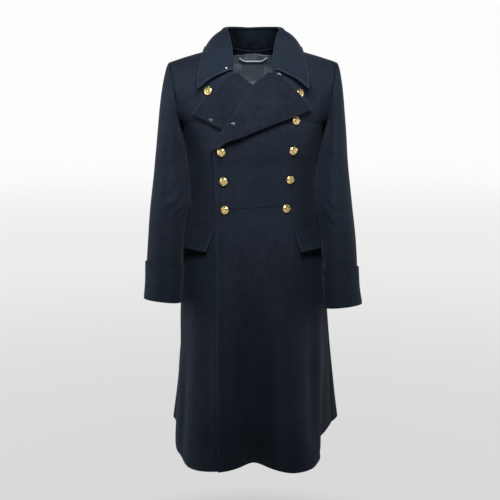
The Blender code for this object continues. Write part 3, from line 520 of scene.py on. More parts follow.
@dataclass
class ClothWall:
    """A wall of cloth, as a grid of points on its face and one on its back.

    free names the sides that end in a turned edge, seams those sewn to a neighbour, and sewn the
    free ones that have a stitched row, all of them where it is left out. row is how far that row
    lies in. cut is how far each point lies from a short seam, which the finish reads.
    """

    name: str
    face: Array
    back: Array
    closed: bool = False
    free: tuple[Side, ...] = ()
    seams: tuple[Side, ...] = ()
    row: float = 0.01
    sewn: tuple[Side, ...] | None = None
    cut: Array | None = None
    roundness: float = 0.8

    def distance(self, side: Side) -> Array:
        """How far each point of the face lies from a side, along the cloth."""
        axis, last = side.value
        steps = np.linalg.norm(np.diff(self.face, axis=axis), axis=-1)
        if last:
            steps = np.flip(steps, axis=axis)
        total = np.cumsum(steps, axis=axis)
        edge = np.zeros_like(np.take(total, [0], axis=axis))
        total = np.concatenate([edge, total], axis=axis)
        return np.flip(total, axis=axis) if last else total

    def nearest(self, sides: Sequence[Side]) -> Array:
        """How far each point lies from the nearest of some sides, or FAR."""
        found = np.full(self.face.shape[:2], FAR)
        for side in sides:
            found = np.minimum(found, self.distance(side))
        return found

    def sewn_sides(self) -> tuple[Side, ...]:
        """The sides that have a stitched row."""
        return self.free if self.sewn is None else self.sewn

    def stitch_lines(self) -> list[Array]:
        """Lines of points on the face along its sewn sides, a stitched row's width in."""
        lines = []
        for side in self.sewn_sides():
            axis, last = side.value
            away = self.distance(side)
            others = self.nearest([other for other in self.sewn_sides() if other != side])
            face = self.face
            if axis == 0:
                away, others, face = away.T, others.T, np.swapaxes(face, 0, 1)
            if last:
                away, others, face = away[:, ::-1], others[:, ::-1], face[:, ::-1]
            line = []
            for there, other, points in zip(away, others, face):
                if np.interp(self.row, there, other) >= self.row * 0.98:
                    line.append([np.interp(self.row, there, points[:, k]) for k in range(3)])
            lines.append(np.array(line))
        return lines

    def rim(self, loop: Array, outward: Array, start: int, steps: int) -> tuple[Array, Array]:
        """The rounded edge between the face and the back.

        Args:
            loop: indices into the grid, once round or along the edge.
            outward: how each point of the loop moves out at the middle of the edge.
            start: the index of the first new point.
            steps: how many new points each place gets.

        Returns:
            The new points, and the quads that join them to the face and the back.
        """
        count = self.face.shape[0] * self.face.shape[1]
        face, back = self.face.reshape(-1, 3)[loop], self.back.reshape(-1, 3)[loop]
        middle, half = (face + back) / 2, (face - back) / 2
        thick = np.linalg.norm(half, axis=1, keepdims=True)
        points, rings = [], [loop]
        for step in range(1, steps + 1):
            angle = math.pi * step / (steps + 1)
            points.append(middle + half * math.cos(angle) + outward * thick * math.sin(angle))
            rings.append(start + (step - 1) * len(loop) + np.arange(len(loop)))
        rings.append(count + loop)
        quads = []
        for upper, lower in zip(rings, rings[1:]):
            after, below = np.roll(upper, -1), np.roll(lower, -1)
            quads.append(np.stack([after, upper, lower, below], axis=-1))
        return np.concatenate(points), np.concatenate(quads)

    def outward(self) -> Array:
        """How the edge of each free side stands out between the face and the back."""
        found = np.zeros_like(self.face)
        for side in self.free:
            axis, last = side.value
            if self.closed and axis == 1:
                continue
            outer, inner = (-1, -2) if last else (0, 1)
            lines = np.moveaxis(self.face, axis, 0)
            edge = np.moveaxis(found, axis, 0)
            edge[outer] += unit(lines[outer] - lines[inner]) * self.roundness
        length = np.linalg.norm(found, axis=-1, keepdims=True)
        return found / np.maximum(length / self.roundness, 1.0)

    def build(self, finish: Material) -> Object:
        """Make the wall's object, with the marks that its finish reads.

        Args:
            finish: the material it gets.

        Returns:
            The object, at the origin.
        """
        rows, columns = self.face.shape[:2]
        count = rows * columns
        quads = grid_quads(rows, columns, self.closed)
        points = [self.face.reshape(-1, 3), self.back.reshape(-1, 3)]
        faces = [quads, quads[:, ::-1] + count]
        out = self.outward().reshape(-1, 3)
        index = np.arange(count).reshape(rows, columns)
        if self.closed:
            loops = [index[0], index[-1][::-1]]
        else:
            around = (index[0], index[1:, -1], index[-1, -2::-1], index[-2:0:-1, 0])
            loops = [np.concatenate(around)]
        source = [np.arange(count), np.arange(count)]
        made = 2 * count
        for loop in loops:
            new, sides = self.rim(loop, out[loop], made, 3)
            points.append(new)
            faces.append(sides)
            source += [loop] * 3
            made += len(new)
        mesh = new_mesh(self.name, np.concatenate(points), np.concatenate(faces).tolist())
        marks = {
            "edge": self.nearest(self.free),
            "row": self.nearest(self.sewn_sides()) - self.row,
            "seam": self.nearest(self.seams),
            "cut": np.full((rows, columns), FAR) if self.cut is None else self.cut,
        }
        for name, values in marks.items():
            mark(mesh, name, values.reshape(-1)[np.concatenate(source)])
        width, length, area = self.cut_size()
        log.info("%s: %.3f by %.3f m, %.4f square metres", self.name, width, length, area)
        return finished(self.name + "_cloth", mesh, finish)

    def make(self, finish: Material, sewing: "StitchRow", slot: str = "coat_cloth") -> None:
        """Args:
            finish: the material it gets.
            sewing: how its stitches are made.
            slot: not used.
        """
        piece = dress(self.build(finish), [self.name])
        cut = CUTS[self.name]
        if cut.stitches:
            stitches = sewing.build(cut.stitches, self.stitch_lines())
            dress(stitches, [])

    def cut_size(self) -> tuple[float, float, float]:
        """The widest row, the longest column and the area of the face."""
        face = np.concatenate([self.face, self.face[:, :1]], axis=1) if self.closed else self.face
        along = np.linalg.norm(np.diff(face, axis=1), axis=-1).sum(axis=1)
        up = np.linalg.norm(np.diff(face, axis=0), axis=-1).sum(axis=0)
        cross = np.cross(face[1:, 1:] - face[:-1, :-1], face[1:, :-1] - face[:-1, 1:])
        return along.max(), up.max(), 0.5 * np.linalg.norm(cross, axis=-1).sum()


def new_mesh(name: str, points: Array, faces: Sequence = (), edges: Sequence = ()) -> Mesh:
    """A mesh of points that have their heights above the hem.

    Args:
        name: the mesh's name.
        points: the points, in a row or as a grid.
        faces: the indices of each face.
        edges: the indices of each loose edge.

    Returns:
        The mesh, with its heights from the neck.
    """
    mesh = bpy.data.meshes.new(name)
    mesh.from_pydata((points.reshape(-1, 3) - TO_NECK).tolist(), edges, faces)
    return mesh


def mark(mesh: Mesh, name: str, values: Array) -> None:
    """Give each point of a mesh a value that its finish reads."""
    layer = mesh.attributes.new(name, "FLOAT", "POINT")
    layer.data.foreach_set("value", values.astype(np.float32))


def finished(name: str, mesh: Mesh, finish: Material) -> Object:
    """Put a mesh in the scene as an object with outward faces, smooth, in its finish."""
    work = bmesh.new()
    work.from_mesh(mesh)
    bmesh.ops.recalc_face_normals(work, faces=work.faces)
    work.to_mesh(mesh)
    work.free()
    mesh.materials.clear()
    mesh.materials.append(finish)
    mesh.shade_smooth()
    made = bpy.data.objects.new(name, mesh)
    bpy.context.scene.collection.objects.link(made)
    return made


def dress(piece: Object, nodes: Sequence[str]) -> Object:
    """Let a piece ride on the coat and stand for its solids."""
    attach(piece, "root")
    if nodes:
        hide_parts(*nodes)
    log.info("%s: %d faces", piece.name, len(piece.data.polygons))
    return piece


def cut_marks(places: Array, lines: Sequence[tuple[Place, Place]]) -> Array:
    """How far places lie from the nearest short seam, signed across it, or FAR.

    Args:
        places: places on the cloth, two numbers each.
        lines: the two ends of each seam, as places.

    Returns:
        One distance a place.
    """
    found = np.full(places.shape[:2], FAR)
    for first, last in lines:
        start, chord = np.array(first), np.array(last) - np.array(first)
        length = float(np.hypot(*chord))
        along = chord / length
        t = (places - start) @ along
        away = (places - start) @ np.array([-along[1], along[0]])
        near = (t > 0) & (t < length) & (np.abs(away) < SEAM_REACH)
        found = np.where(near, away, found)
    return found


# ---- Shader sockets ----
class Socket:
    """A value in a shader, with Python's operators for its maths."""

    def __init__(self, shader: "Shader", socket: NodeSocket) -> None:
        """Keep the shader and the output that the value comes from."""
        self.shader = shader
        self.socket = socket

    def maths(self, operation: str, *others: "Socket | float", first: bool = True) -> "Socket":
        """One step of maths.

        Args:
            operation: the Math node's operation.
            others: the other values.
            first: whether this value comes before them.

        Returns:
            The result.
        """
        values = (self, *others) if first else (*others, self)
        return self.shader.make(
            "ShaderNodeMath", {"operation": operation}, dict(enumerate(values))
        )

    def __add__(self, other: "Socket | float") -> "Socket":
        """The sum."""
        return self.maths("ADD", other)

    def __sub__(self, other: "Socket | float") -> "Socket":
        """The difference."""
        return self.maths("SUBTRACT", other)

    def __rsub__(self, other: float) -> "Socket":
        """The difference, from a number."""
        return self.maths("SUBTRACT", other, first=False)

    def __mul__(self, other: "Socket | float") -> "Socket":
        """The product."""
        return self.maths("MULTIPLY", other)

    def __truediv__(self, other: "Socket | float") -> "Socket":
        """The quotient."""
        return self.maths("DIVIDE", other)

    def bell(self, width: float) -> "Socket":
        """1 where the value is 0, and soon 0 away from it.

        Args:
            width: the value at which little is left.

        Returns:
            The bell's height.
        """
        scaled = self / width
        return ((scaled * scaled) * -1.0).maths("EXPONENT")

    def between(self, low: float, high: float) -> "Socket":
        """0 at low and 1 at high, softly."""
        return self.shader.make(
            "ShaderNodeMapRange",
            {"interpolation_type": "SMOOTHSTEP"},
            {"Value": self, "From Min": low, "From Max": high},
            "Result",
        )


class Shader:
    """A material's node tree, with one Principled shader."""

    def __init__(self, name: str) -> None:
        """Make the material and find its shader node."""
        self.material = bpy.data.materials.new(name)
        self.material.use_nodes = True
        self.tree = self.material.node_tree
        self.principled = self.tree.nodes["Principled BSDF"]

    def make(
        self,
        kind: str,
        settings: dict[str, object] | None = None,
        values: dict[str | int, object] | None = None,
        output: str | int = 0,
    ) -> Socket:
        """Add a node.

        Args:
            kind: the node's type.
            settings: its settings, set before its sockets are used.
            values: what its inputs get: sockets, numbers, vectors or colours.
            output: the output that is wanted.

        Returns:
            That output.
        """
        node = self.tree.nodes.new(kind)
        for key, value in (settings or {}).items():
            setattr(node, key, value)
        for key, value in (values or {}).items():
            self.feed(node.inputs[key], value)
        return Socket(self, node.outputs[output])

    def feed(self, target: NodeSocket, value: object) -> None:
        """Link or set one input."""
        if isinstance(value, Socket):
            self.tree.links.new(value.socket, target)
        else:
            target.default_value = value

    def give(self, **values: object) -> None:
        """Feed the Principled shader, with underscores for the spaces in its inputs' names."""
        for key, value in values.items():
            self.feed(self.principled.inputs[key.replace("_", " ")], value)

    def place(self) -> Socket:
        """Where a point of the piece is, in metres."""
        return self.make("ShaderNodeTexCoord", {}, {}, "Object")

    def mark(self, name: str) -> Socket:
        """A mark that the mesh carries."""
        return self.make("ShaderNodeAttribute", {"attribute_name": name}, {}, "Fac")

    def axes(self) -> list[Socket]:
        """X, Y and Z of that place."""
        first = self.make("ShaderNodeSeparateXYZ", {}, {0: self.place()})
        return [Socket(self, output) for output in first.socket.node.outputs]

    def noise(self, scale: float, detail: float = 2.0, roughness: float = 0.5) -> Socket:
        """Soft noise about 0.5, with scale spots a metre."""
        values = {"Scale": scale, "Detail": detail, "Roughness": roughness}
        return self.make("ShaderNodeTexNoise", {}, {"Vector": self.place(), **values}, "Fac")

    def blend(self, share: Socket | float, first: object, second: object) -> Socket:
        """A colour between two, by share."""
        values = {0: share, 6: first, 7: second}
        return self.make("ShaderNodeMix", {"data_type": "RGBA"}, values, 2)

    def bump(self, height: Socket, strength: float = 1.0) -> Socket:
        """A normal from a height in metres."""
        values = {"Height": height, "Distance": 1.0, "Strength": strength}
        return self.make("ShaderNodeBump", {}, values, "Normal")


def shade(colour: Colour, times: float = 1.0) -> tuple[float, float, float, float]:
    """A colour, made darker or lighter, with its alpha."""
    return (*(part * times for part in colour), 1.0)


# ---- Finishes ----
@dataclass(frozen=True)
class Melton:
    """Heavy milled wool: dark, felted, with a soft bloom at grazing light."""

    name: str = "melton"
    deep: Colour = (0.0086, 0.0128, 0.0226)
    pale: Colour = (0.0158, 0.022, 0.0366)
    teal: Colour = (0.0092, 0.02, 0.0275)
    roughness: float = 0.92
    bloom: float = 0.07
    bloom_roughness: float = 0.38
    bloom_tint: Colour = (0.62, 0.74, 0.95)
    gloss: float = 0.12
    swell: float = 0.0011
    groove: float = 0.0009
    stitch_width: float = 0.0013
    line_width: float = 0.0011
    # how far the paler edge reaches: rubbed nap plus a painted highlight on the rims
    rubbed_and_highlit_edge: float = 0.003

    def material(self) -> Material:
        """The finish as a material."""
        shader = Shader(self.name)
        edge, row, seam, cut = (shader.mark(name) for name in ("edge", "row", "seam", "cut"))
        clouds = shader.noise(9.0, 3.0, 0.55)
        mottle = shader.noise(70.0, 3.0, 0.6)
        fibre = shader.noise(1500.0, 3.0, 0.7)
        tuft = shader.noise(420.0, 3.0, 0.65)
        stitched, joint = row.bell(self.stitch_width), seam.bell(self.stitch_width)
        line = cut.bell(self.line_width)
        dark = (stitched * 0.45 + line * 0.8 + joint * 0.7).maths("MINIMUM", 0.85)
        colour: object = shade(self.deep)
        for share, other in (
            ((clouds * 0.55 + mottle * 0.45).between(0.36, 0.66), shade(self.pale)),
            (shader.noise(5.0).between(0.42, 0.68) * 0.55, shade(self.teal)),
            # paler at turned edges: partly real wear of the nap, partly a painted highlight along
            # the rims
            (edge.bell(self.rubbed_and_highlit_edge) * 0.6, shade(self.pale, 1.7)),
            (fibre.between(0.3, 0.75) * 0.28, shade(self.pale, 1.9)),
            (dark, shade(self.deep, 0.4)),
        ):
            colour = shader.blend(share, colour, other)
        swelled = edge.between(0.0, 0.002) * (1.0 - edge.between(0.0075, 0.013)) * self.swell
        height = swelled - stitched * self.groove - line * 0.0007 - joint * 0.0006
        height = height + tuft * 0.0003 + fibre * 0.00012 + mottle * 0.0006
        shader.give(
            Base_Color=colour,
            Roughness=self.roughness,
            Sheen_Weight=self.bloom,
            Sheen_Roughness=self.bloom_roughness,
            Sheen_Tint=shade(self.bloom_tint),
            Specular_IOR_Level=self.gloss,
            Normal=shader.bump(height, 0.9),
        )
        return shader.material


@dataclass(frozen=True)
class Woven:
    """A woven cloth: lining satin, label ribbon or hanger tape."""

    name: str
    deep: Colour
    pale: Colour
    threads: float
    roughness: float
    sheen: float
    relief: float = 0.00012

    def material(self) -> Material:
        """The finish as a material."""
        shader = Shader(self.name)
        x, _, z = shader.axes()
        weave = (x * self.threads).maths("SINE") * (z * self.threads).maths("SINE") * 0.5 + 0.5
        share = (shader.noise(40.0, 3.0, 0.6) * 0.75 + weave * 0.25).between(0.3, 0.72)
        colour = shader.blend(share, shade(self.deep), shade(self.pale))
        height = weave * self.relief + shader.noise(160.0) * 0.0006
        shader.give(
            Base_Color=colour,
            Roughness=self.roughness,
            Sheen_Weight=self.sheen,
            Sheen_Roughness=0.35,
            Normal=shader.bump(height, 0.7),
        )
        return shader.material


@dataclass(frozen=True)
class Metal:
    """A metal: gilding or nickelled wire, a little dull in its hollows."""

    name: str
    bright: Colour
    dull: Colour
    roughness: float
    hollow: float

    def material(self) -> Material:
        """The finish as a material."""
        shader = Shader(self.name)
        tarnish = shader.noise(900.0, 3.0, 0.6).between(0.35, 0.75)
        share = (tarnish * 0.3 + shader.mark("hollow") * self.hollow).maths("MINIMUM", 1.0)
        shader.give(
            Base_Color=shader.blend(share, shade(self.bright), shade(self.dull)),
            Roughness=share * 0.25 + self.roughness,
            Metallic=1.0,
            Normal=shader.bump(shader.noise(1400.0) * 0.00005, 0.6),
        )
        return shader.material


@dataclass(frozen=True)
class Ground:
    """A plain pale floor that glows, with painted shade: a soft painted shadow under the coat, and
    a glow that grows brighter further from it.
    """

    name: str = "floor"
    painted_shadow: float = 0.16
    near: float = 0.685
    middle: float = 0.84
    far: float = 0.972
    reaches: tuple[float, float, float, float] = (0.15, 0.7, 5.6, 14.0)

    def material(self) -> Material:
        """The finish as a material."""
        shader = Shader(self.name)
        x, y, _ = shader.axes()
        away = (x * x + y * y).maths("SQRT")
        levels = (self.painted_shadow, self.near, self.middle, self.far)
        # painted shadow under the coat, then a painted brightening of the floor with distance from
        # it
        glow, *others = (shade((level,) * 3) for level in levels)
        for low, high, level in zip(self.reaches, self.reaches[1:], others):
            glow = shader.blend(away.between(low, high), glow, level)
        shader.give(
            Base_Color=shade((0.02, 0.02, 0.02)),
            Roughness=1.0,
            Specular_IOR_Level=0.0,
            Emission_Color=glow,
            Emission_Strength=1.0,
        )
        return shader.material


# ---- Repeated work: stitches and rope rims, made by Geometry Nodes ----
class NodeTree:
    """A Geometry Nodes tree that is built in words."""

    def __init__(self, name: str, sizes: dict[str, float], starts_with_mesh: bool) -> None:
        """Make the tree and its named inputs.

        Args:
            name: the tree's name.
            sizes: each named input and its value.
            starts_with_mesh: whether the object's own mesh is used.
        """
        self.tree = bpy.data.node_groups.new(name, "GeometryNodeTree")
        self.sizes = sizes
        face = self.tree.interface
        if starts_with_mesh:
            face.new_socket("Geometry", in_out="INPUT", socket_type="NodeSocketGeometry")
        for size in sizes:
            face.new_socket(size, in_out="INPUT", socket_type="NodeSocketFloat")
        face.new_socket("Geometry", in_out="OUTPUT", socket_type="NodeSocketGeometry")
        self.start = self.tree.nodes.new("NodeGroupInput")
        self.end = self.tree.nodes.new("NodeGroupOutput")

    def make(self, kind: str, values: dict[str, object], **settings: object) -> Node:
        """Add a node, with its settings and what its inputs get."""
        node = self.tree.nodes.new(kind)
        for key, value in settings.items():
            setattr(node, key, value)
        for key, value in values.items():
            if isinstance(value, NodeSocket):
                self.tree.links.new(value, node.inputs[key])
            else:
                node.inputs[key].default_value = value
        return node

    def close(self, geometry: NodeSocket, finish: Material) -> None:
        """End the tree in real geometry with its material."""
        real = self.make("GeometryNodeRealizeInstances", {"Geometry": geometry})
        done = self.make(
            "GeometryNodeSetMaterial", {"Geometry": real.outputs[0], "Material": finish}
        )
        self.tree.links.new(done.outputs[0], self.end.inputs[0])

    def beads(self, places: Node, ball: tuple[int, int, float], scale: Node) -> Node:
        """Put a bead on each of some places, turned with their line.

        Args:
            places: the node that has the places.
            ball: the bead's segments, rings and radius.
            scale: the node that has the beads' scale.

        Returns:
            The node that has the beads.
        """
        sizes = dict(zip(("Segments", "Rings", "Radius"), ball))
        bead = self.make("GeometryNodeMeshUVSphere", sizes)
        values = {
            "Points": places.outputs["Points"],
            "Instance": bead.outputs["Mesh"],
            "Rotation": places.outputs["Rotation"],
            "Scale": scale.outputs[0],
        }
        return self.make("GeometryNodeInstanceOnPoints", values)

    def apply(self, base: Mesh, name: str) -> Mesh:
        """Run the tree on a mesh.

        Args:
            base: the mesh that it starts with.
            name: the result's name.

        Returns:
            The result, as a plain mesh.
        """
        holder = bpy.data.objects.new(name + "_work", base)
        bpy.context.scene.collection.objects.link(holder)
        modifier = holder.modifiers.new("made", "NODES")
        modifier.node_group = self.tree
        for item in self.tree.interface.items_tree:
            if item.in_out == "INPUT" and item.name in self.sizes:
                modifier[item.identifier] = self.sizes[item.name]
        graph = bpy.context.evaluated_depsgraph_get()
        made = bpy.data.meshes.new_from_object(holder.evaluated_get(graph))
        bpy.data.objects.remove(holder, do_unlink=True)
        made.name = name
        return made


@dataclass
class StitchRow:
    """Rows of sewing thread, sunk a little into the cloth."""

    finish: Material
    pitch: float = 0.004
    length: float = 0.0028
    thread: float = 0.00028

    def build(self, name: str, lines: Sequence[Array]) -> Object:
        """Sew along some lines.

        Args:
            name: the piece's name.
            lines: the points of each line, with heights above the hem.

        Returns:
            The stitches, as one object.
        """
        edges: list[tuple[int, int]] = []
        start = 0
        for line in lines:
            edges += [(start + i, start + i + 1) for i in range(len(line) - 1)]
            start += len(line)
        base = new_mesh(name, np.concatenate(lines), edges=edges)
        sizes = {"Pitch": self.pitch, "Length": self.length, "Thread": self.thread}
        tree = NodeTree("sewing_" + name, sizes, True)
        given = tree.start.outputs
        curve = tree.make("GeometryNodeMeshToCurve", {"Mesh": given["Geometry"]})
        places = tree.make(
            "GeometryNodeCurveToPoints",
            {"Curve": curve.outputs[0], "Length": given["Pitch"]},
            mode="LENGTH",
        )
        scale = tree.make(
            "ShaderNodeCombineXYZ",
            {"X": given["Thread"], "Y": given["Thread"], "Z": given["Length"]},
        )
        doubled = tree.make(
            "ShaderNodeVectorMath", {0: scale.outputs[0], 1: (2.0, 2.0, 1.0)}, operation="MULTIPLY"
        )
        tree.close(tree.beads(places, (6, 4, 0.5), doubled).outputs[0], self.finish)
        return finished(name, tree.apply(base, name), self.finish)


# ---- The coat's own pieces ----
LAP_EDGE = SmoothTable(
    (
        (0.0, -0.096), (0.3, -0.0965), (0.6, -0.097), (0.84, -0.099), (0.872, -0.0975),
        (0.9, -0.088), (0.945, -0.056), (0.997, -0.023), (1.032, 0.002), (1.06, 0.033),
        (1.083, 0.052), (1.112, 0.066), (1.142, 0.076), (1.154, 0.083),
    )
)  # fmt: skip
LAP_ROWS = SmoothTable(
    (
        (0.0, 0.0068, 0.003, 0.1, 0.16),
        (0.6, 0.0066, 0.0024, 0.1, 0.16),
        (0.76, 0.006, 0.001, 0.1, 0.155),
        (0.828, 0.007, 0.0, 0.1, 0.16),
        (0.866, 0.0112, 0.0, 0.102, 0.17),
        (0.93, 0.0114, 0.0, 0.098, 0.165),
        (1.01, 0.0112, 0.0, 0.06, 0.15),
        (1.045, 0.0085, 0.0, 0.045, 0.12),
        (1.085, 0.0015, 0.0, 0.05, 0.1),
        (1.154, 0.0, 0.0, 0.05, 0.1),
    )
)


@dataclass
class Lap:
    """How the two fronts lie on each other, and where their inner edges run.

    A row gives how far the over front stands out, how far the under one is drawn in, and the two
    places along X between which the first fades.
    """

    edge: SmoothTable = LAP_EDGE
    rows: SmoothTable = LAP_ROWS
    tuck_from: float = -0.098
    tuck_to: float = -0.05

    def edge_x(self, level: Array | float) -> Array:
        """Where the over front's inner edge is at some heights."""
        return self.edge.at(level)[..., 1]

    def rise(self, level: Array, x: Array) -> Array:
        """How far the over front stands out from the body."""
        row = self.rows.at(level)
        fade = (x - row[..., 3]) / (row[..., 4] - row[..., 3])
        return np.maximum(row[..., 1], 0.0) * (1 - ease(fade))

    def tuck(self, level: Array, x: Array) -> Array:
        """How far the covered part of the under front is drawn in, below 0."""
        row = self.rows.at(level)
        share = ease((x - self.tuck_from) / (self.tuck_to - self.tuck_from))
        return -np.maximum(row[..., 2], 0.0) * share


def doubled(under: Array, toward: tuple[float, float, float], push: Array) -> tuple[Array, Array]:
    """The face and the back of doubled cloth.

    Args:
        under: the points of its underside.
        toward: a direction on the face's side.
        push: how far each point moves out.

    Returns:
        The points of the face and those of the back.
    """
    normals = grid_normals(under)
    if (normals @ np.array(toward)).mean() < 0:
        normals = -normals
    face = under + normals * (DOUBLE_CLOTH + push)[..., None]
    return face, under + normals * np.maximum(push - 0.0004, 0.0)[..., None]


@dataclass
class Panel:
    """A front or back panel: its grid starts at its inner edge and ends at the side seam."""

    name: str
    half: Half
    hand: Hand
    form: BodyForm
    lap: Lap
    seed: float
    creases: tuple[Crease, ...]
    cuts: tuple[tuple[Place, Place], ...] = ()
    rows: int = 286
    front_columns: int = 104
    back_columns: int = 76
    front_near: tuple[float, ...] = (0.0, 0.0008, 0.002, 0.004, 0.007, 0.0105, 0.0145)
    back_near: tuple[float, ...] = (0.0, 0.0008, 0.002, 0.0045)
    low: tuple[float, ...] = (0.0, 0.0008, 0.0022, 0.0045)
    above: float = 0.0085
    side_seam: float = 0.9992
    stitch: float = 0.0175
    unevenness: float = 0.0011
    neck_centre: float = 1.138
    wall: ClothWall = field(init=False)

    def rise(self, level: Array, x: Array) -> Array:
        """How far the panel stands out from the body: only the two fronts lap."""
        if self.half is Half.BACK:
            return np.zeros(np.broadcast(level, x).shape)
        return self.lap.rise(level, x) if self.hand is Hand.LEFT else self.lap.tuck(level, x)

    def levels(self) -> Array:
        """The heights of the grid's rows, close together at the hem."""
        rest = np.linspace(self.above, self.form.top, self.rows - len(self.low))
        return np.concatenate([self.low, rest])

    def ends(self, level: Array) -> tuple[Array, Array]:
        """Where each row starts and ends, across the body."""
        sign = self.hand.value
        inner = self.lap.edge_x(level) if self.half is Half.FRONT else SEAM_GAP / 2
        start = self.form.across_at(self.half, level, sign * inner)
        return start, np.full(level.shape, sign * self.side_seam)

    def top_level(self, across: Array, level: Array) -> Array:
        """A back panel's rows dip to the neckline between the shoulder seams' inner ends."""
        if self.half is Half.FRONT:
            return level
        form = self.form
        neck = float(form.across_at(Half.BACK, form.top, self.lap.edge_x(form.top)))
        share = ease(1 - np.abs(across) / neck)
        full = form.top - form.armpit
        scale = (full + (self.neck_centre - form.armpit - full) * share) / full
        return np.where(level <= form.armpit, level, form.armpit + (level - form.armpit) * scale)

    def grid(self, inwards: float) -> Array:
        """The points of the panel's face or of a surface inside it, a row for each height."""
        level = self.levels()
        start, end = self.ends(level)
        chord = self.form.point(self.half, start, level) - self.form.point(self.half, end, level)
        width = np.linalg.norm(chord, axis=-1)
        front = self.half is Half.FRONT
        near = np.array(self.front_near if front else self.back_near)
        columns = self.front_columns if front else self.back_columns
        close = near / np.maximum(width, 0.05)[:, None]
        rest = np.linspace(0.0, 1.0, columns - len(near) + 1)[1:]
        share = np.hstack([close, close[:, -1:] + (1 - close[:, -1:]) * rest])
        across = start[:, None] + (end - start)[:, None] * share
        at = self.top_level(across, np.broadcast_to(level[:, None], across.shape))
        base = self.form.point(self.half, across, at)
        out = self.rise(at, base[..., 0]) - inwards + self.crease_push(base, at)
        made = base + self.form.normal(self.half, across, at) * out[..., None]
        made[-1] += np.array([0.0, self.half.value * SEAM_GAP / 2, 0.0])
        return made

    def crease_push(self, base: Array, level: Array) -> Array:
        """How far the creases and the cloth's unevenness move its points out."""
        push = creased(slack(base, self.unevenness, self.seed), self.creases, base[..., ::2])
        calm = ease((self.form.top - level) / 0.12) * (0.35 + 0.65 * ease((0.99 - level) / 0.14))
        return push * calm

    def build(self, finish: Material, sewing: StitchRow) -> None:
        """Make the panel's piece and keep its wall."""
        front = self.half is Half.FRONT
        face = self.grid(0.0)
        self.wall = ClothWall(
            self.name,
            face,
            self.grid(CLOTH),
            free=(Side.FIRST_ROW, Side.FIRST_COLUMN) if front else (Side.FIRST_ROW,),
            seams=(Side.LAST_COLUMN, Side.LAST_ROW) + (() if front else (Side.FIRST_COLUMN,)),
            sewn=(Side.FIRST_COLUMN,) if self.name == "front_over" else (),
            row=self.stitch,
            cut=cut_marks(face[..., ::2], self.cuts),
        )
        self.wall.make(finish, sewing)


@dataclass(frozen=True)
class LapelCut:
    """A lapel's shape: places on the roll line and on its outline, and how it lies on the front.

    Each row is the roll line's height and the outline's x and height; tip is the row of its point.
    lifts are how high it lies off the front at some shares of its width.
    """

    rows: tuple[tuple[float, float, float], ...]
    lifts: tuple[float, ...]
    tip: int = 6
    shares: tuple[float, ...] = (0.06, 0.16, 0.34, 0.56, 0.78, 1.0)
    roll: tuple[Place, ...] = ((0.002, -0.0036), (0.0026, -0.0012), (0.0022, 0.0014))


OVER_LAPEL = LapelCut(
    rows=(
        (0.874, -0.09, 0.877),
        (0.896, -0.068, 0.8945),
        (0.918, -0.04, 0.9055),
        (0.944, -0.0015, 0.9214),
        (0.97, 0.0455, 0.9405),
        (0.996, 0.098, 0.959),
        (1.02, 0.1509, 0.9796),
        (1.038, 0.1226, 1.013),
        (1.054, 0.0862, 1.049),
        (1.07, 0.064, 1.0705),
    ),
    lifts=(0.003, 0.0044, 0.0056, 0.0074, 0.0096, 0.0106),
)
UNDER_LAPEL = LapelCut(
    rows=(
        (0.874, 0.09, 0.877),
        (0.9, 0.05, 0.899),
        (0.93, 0.0, 0.908),
        (0.956, -0.05, 0.918),
        (0.978, -0.096, 0.937),
        (0.998, -0.124, 0.953),
        (1.02, -0.156, 0.968),
        (1.038, -0.1302, 0.998),
        (1.054, -0.089, 1.0335),
        (1.07, -0.061, 1.066),
    ),
    lifts=(0.002, 0.0022, 0.0023, 0.0026, 0.0034, 0.005),
)


@dataclass
class Lapel:
    """A lapel, which wraps its front's edge at the roll line and lies on the front."""

    name: str
    cut: LapelCut
    panel: Panel
    seed: float
    creases: tuple[Crease, ...]
    cuts: tuple[tuple[Place, Place], ...] = ()
    lines: int = 128
    columns: int = 52
    across: int = 15
    unevenness: float = 0.0012
    wall: ClothWall = field(init=False)

    def outline(self) -> Array:
        """The lapel's rows at every line, with a rounded point."""
        rows = [(i, *row) for i, row in enumerate(self.cut.rows)]
        tip = self.cut.tip
        share = tip / (len(rows) - 1)
        first = int(self.lines * (0.25 + 0.55 * share))
        low = SmoothTable(rows[: tip + 1]).at(np.linspace(0, tip, first))[:, 1:]
        high = SmoothTable(rows[tip:]).at(np.linspace(tip, len(rows) - 1, self.lines - first + 1))
        return soften(np.vstack([low, high[1:, 1:]]), 5)

    def face_point(self, tree: BVHTree, x: float, height: float, lift: float) -> Array:
        """The point of the front that is seen at x and height, stood out by lift."""
        place, normal = seen(tree, x, height)
        return np.array([x, place.y - lift / max(abs(normal.y), 0.5), height])

    def grid(self) -> Array:
        """The underside of the lapel: a line for each place up the roll."""
        tree = surface_tree([self.panel.wall.face])
        edge = self.panel.wall.face[:, 0]
        shares = self.cut.shares
        made = []
        for level, edge_x, edge_height in self.outline():
            start = np.array([np.interp(level, edge[:, 2], edge[:, k]) for k in range(3)])
            roll = np.array([start[0], level])
            rim = np.array([edge_x, edge_height])
            out = unit(rim - roll)
            line = []
            for beyond, lift in self.cut.roll:
                spot = roll - out * beyond
                line.append([spot[0], start[1] - lift, spot[1]])
            for share in np.linspace(shares[0], 1.0, self.across):
                spot = roll + (rim - roll) * share
                lift = float(np.interp(share, shares, self.cut.lifts))
                line.append(self.face_point(tree, spot[0], spot[1], lift))
            made.append(spline(np.array(line), self.columns))
        return np.array(made)

    def build(self, finish: Material, sewing: StitchRow) -> None:
        """Make the lapel's piece and keep its wall."""
        under = self.grid()
        places = under[..., ::2]
        push = creased(np.abs(slack(under, self.unevenness, self.seed)), self.creases, places)
        face, back = doubled(under, (0.0, -1.0, 0.0), push)
        self.wall = ClothWall(
            self.name,
            face,
            back,
            free=(Side.LAST_COLUMN, Side.LAST_ROW),
            cut=cut_marks(places, self.cuts),
            roundness=1.0,
        )
        self.wall.make(finish, sewing)


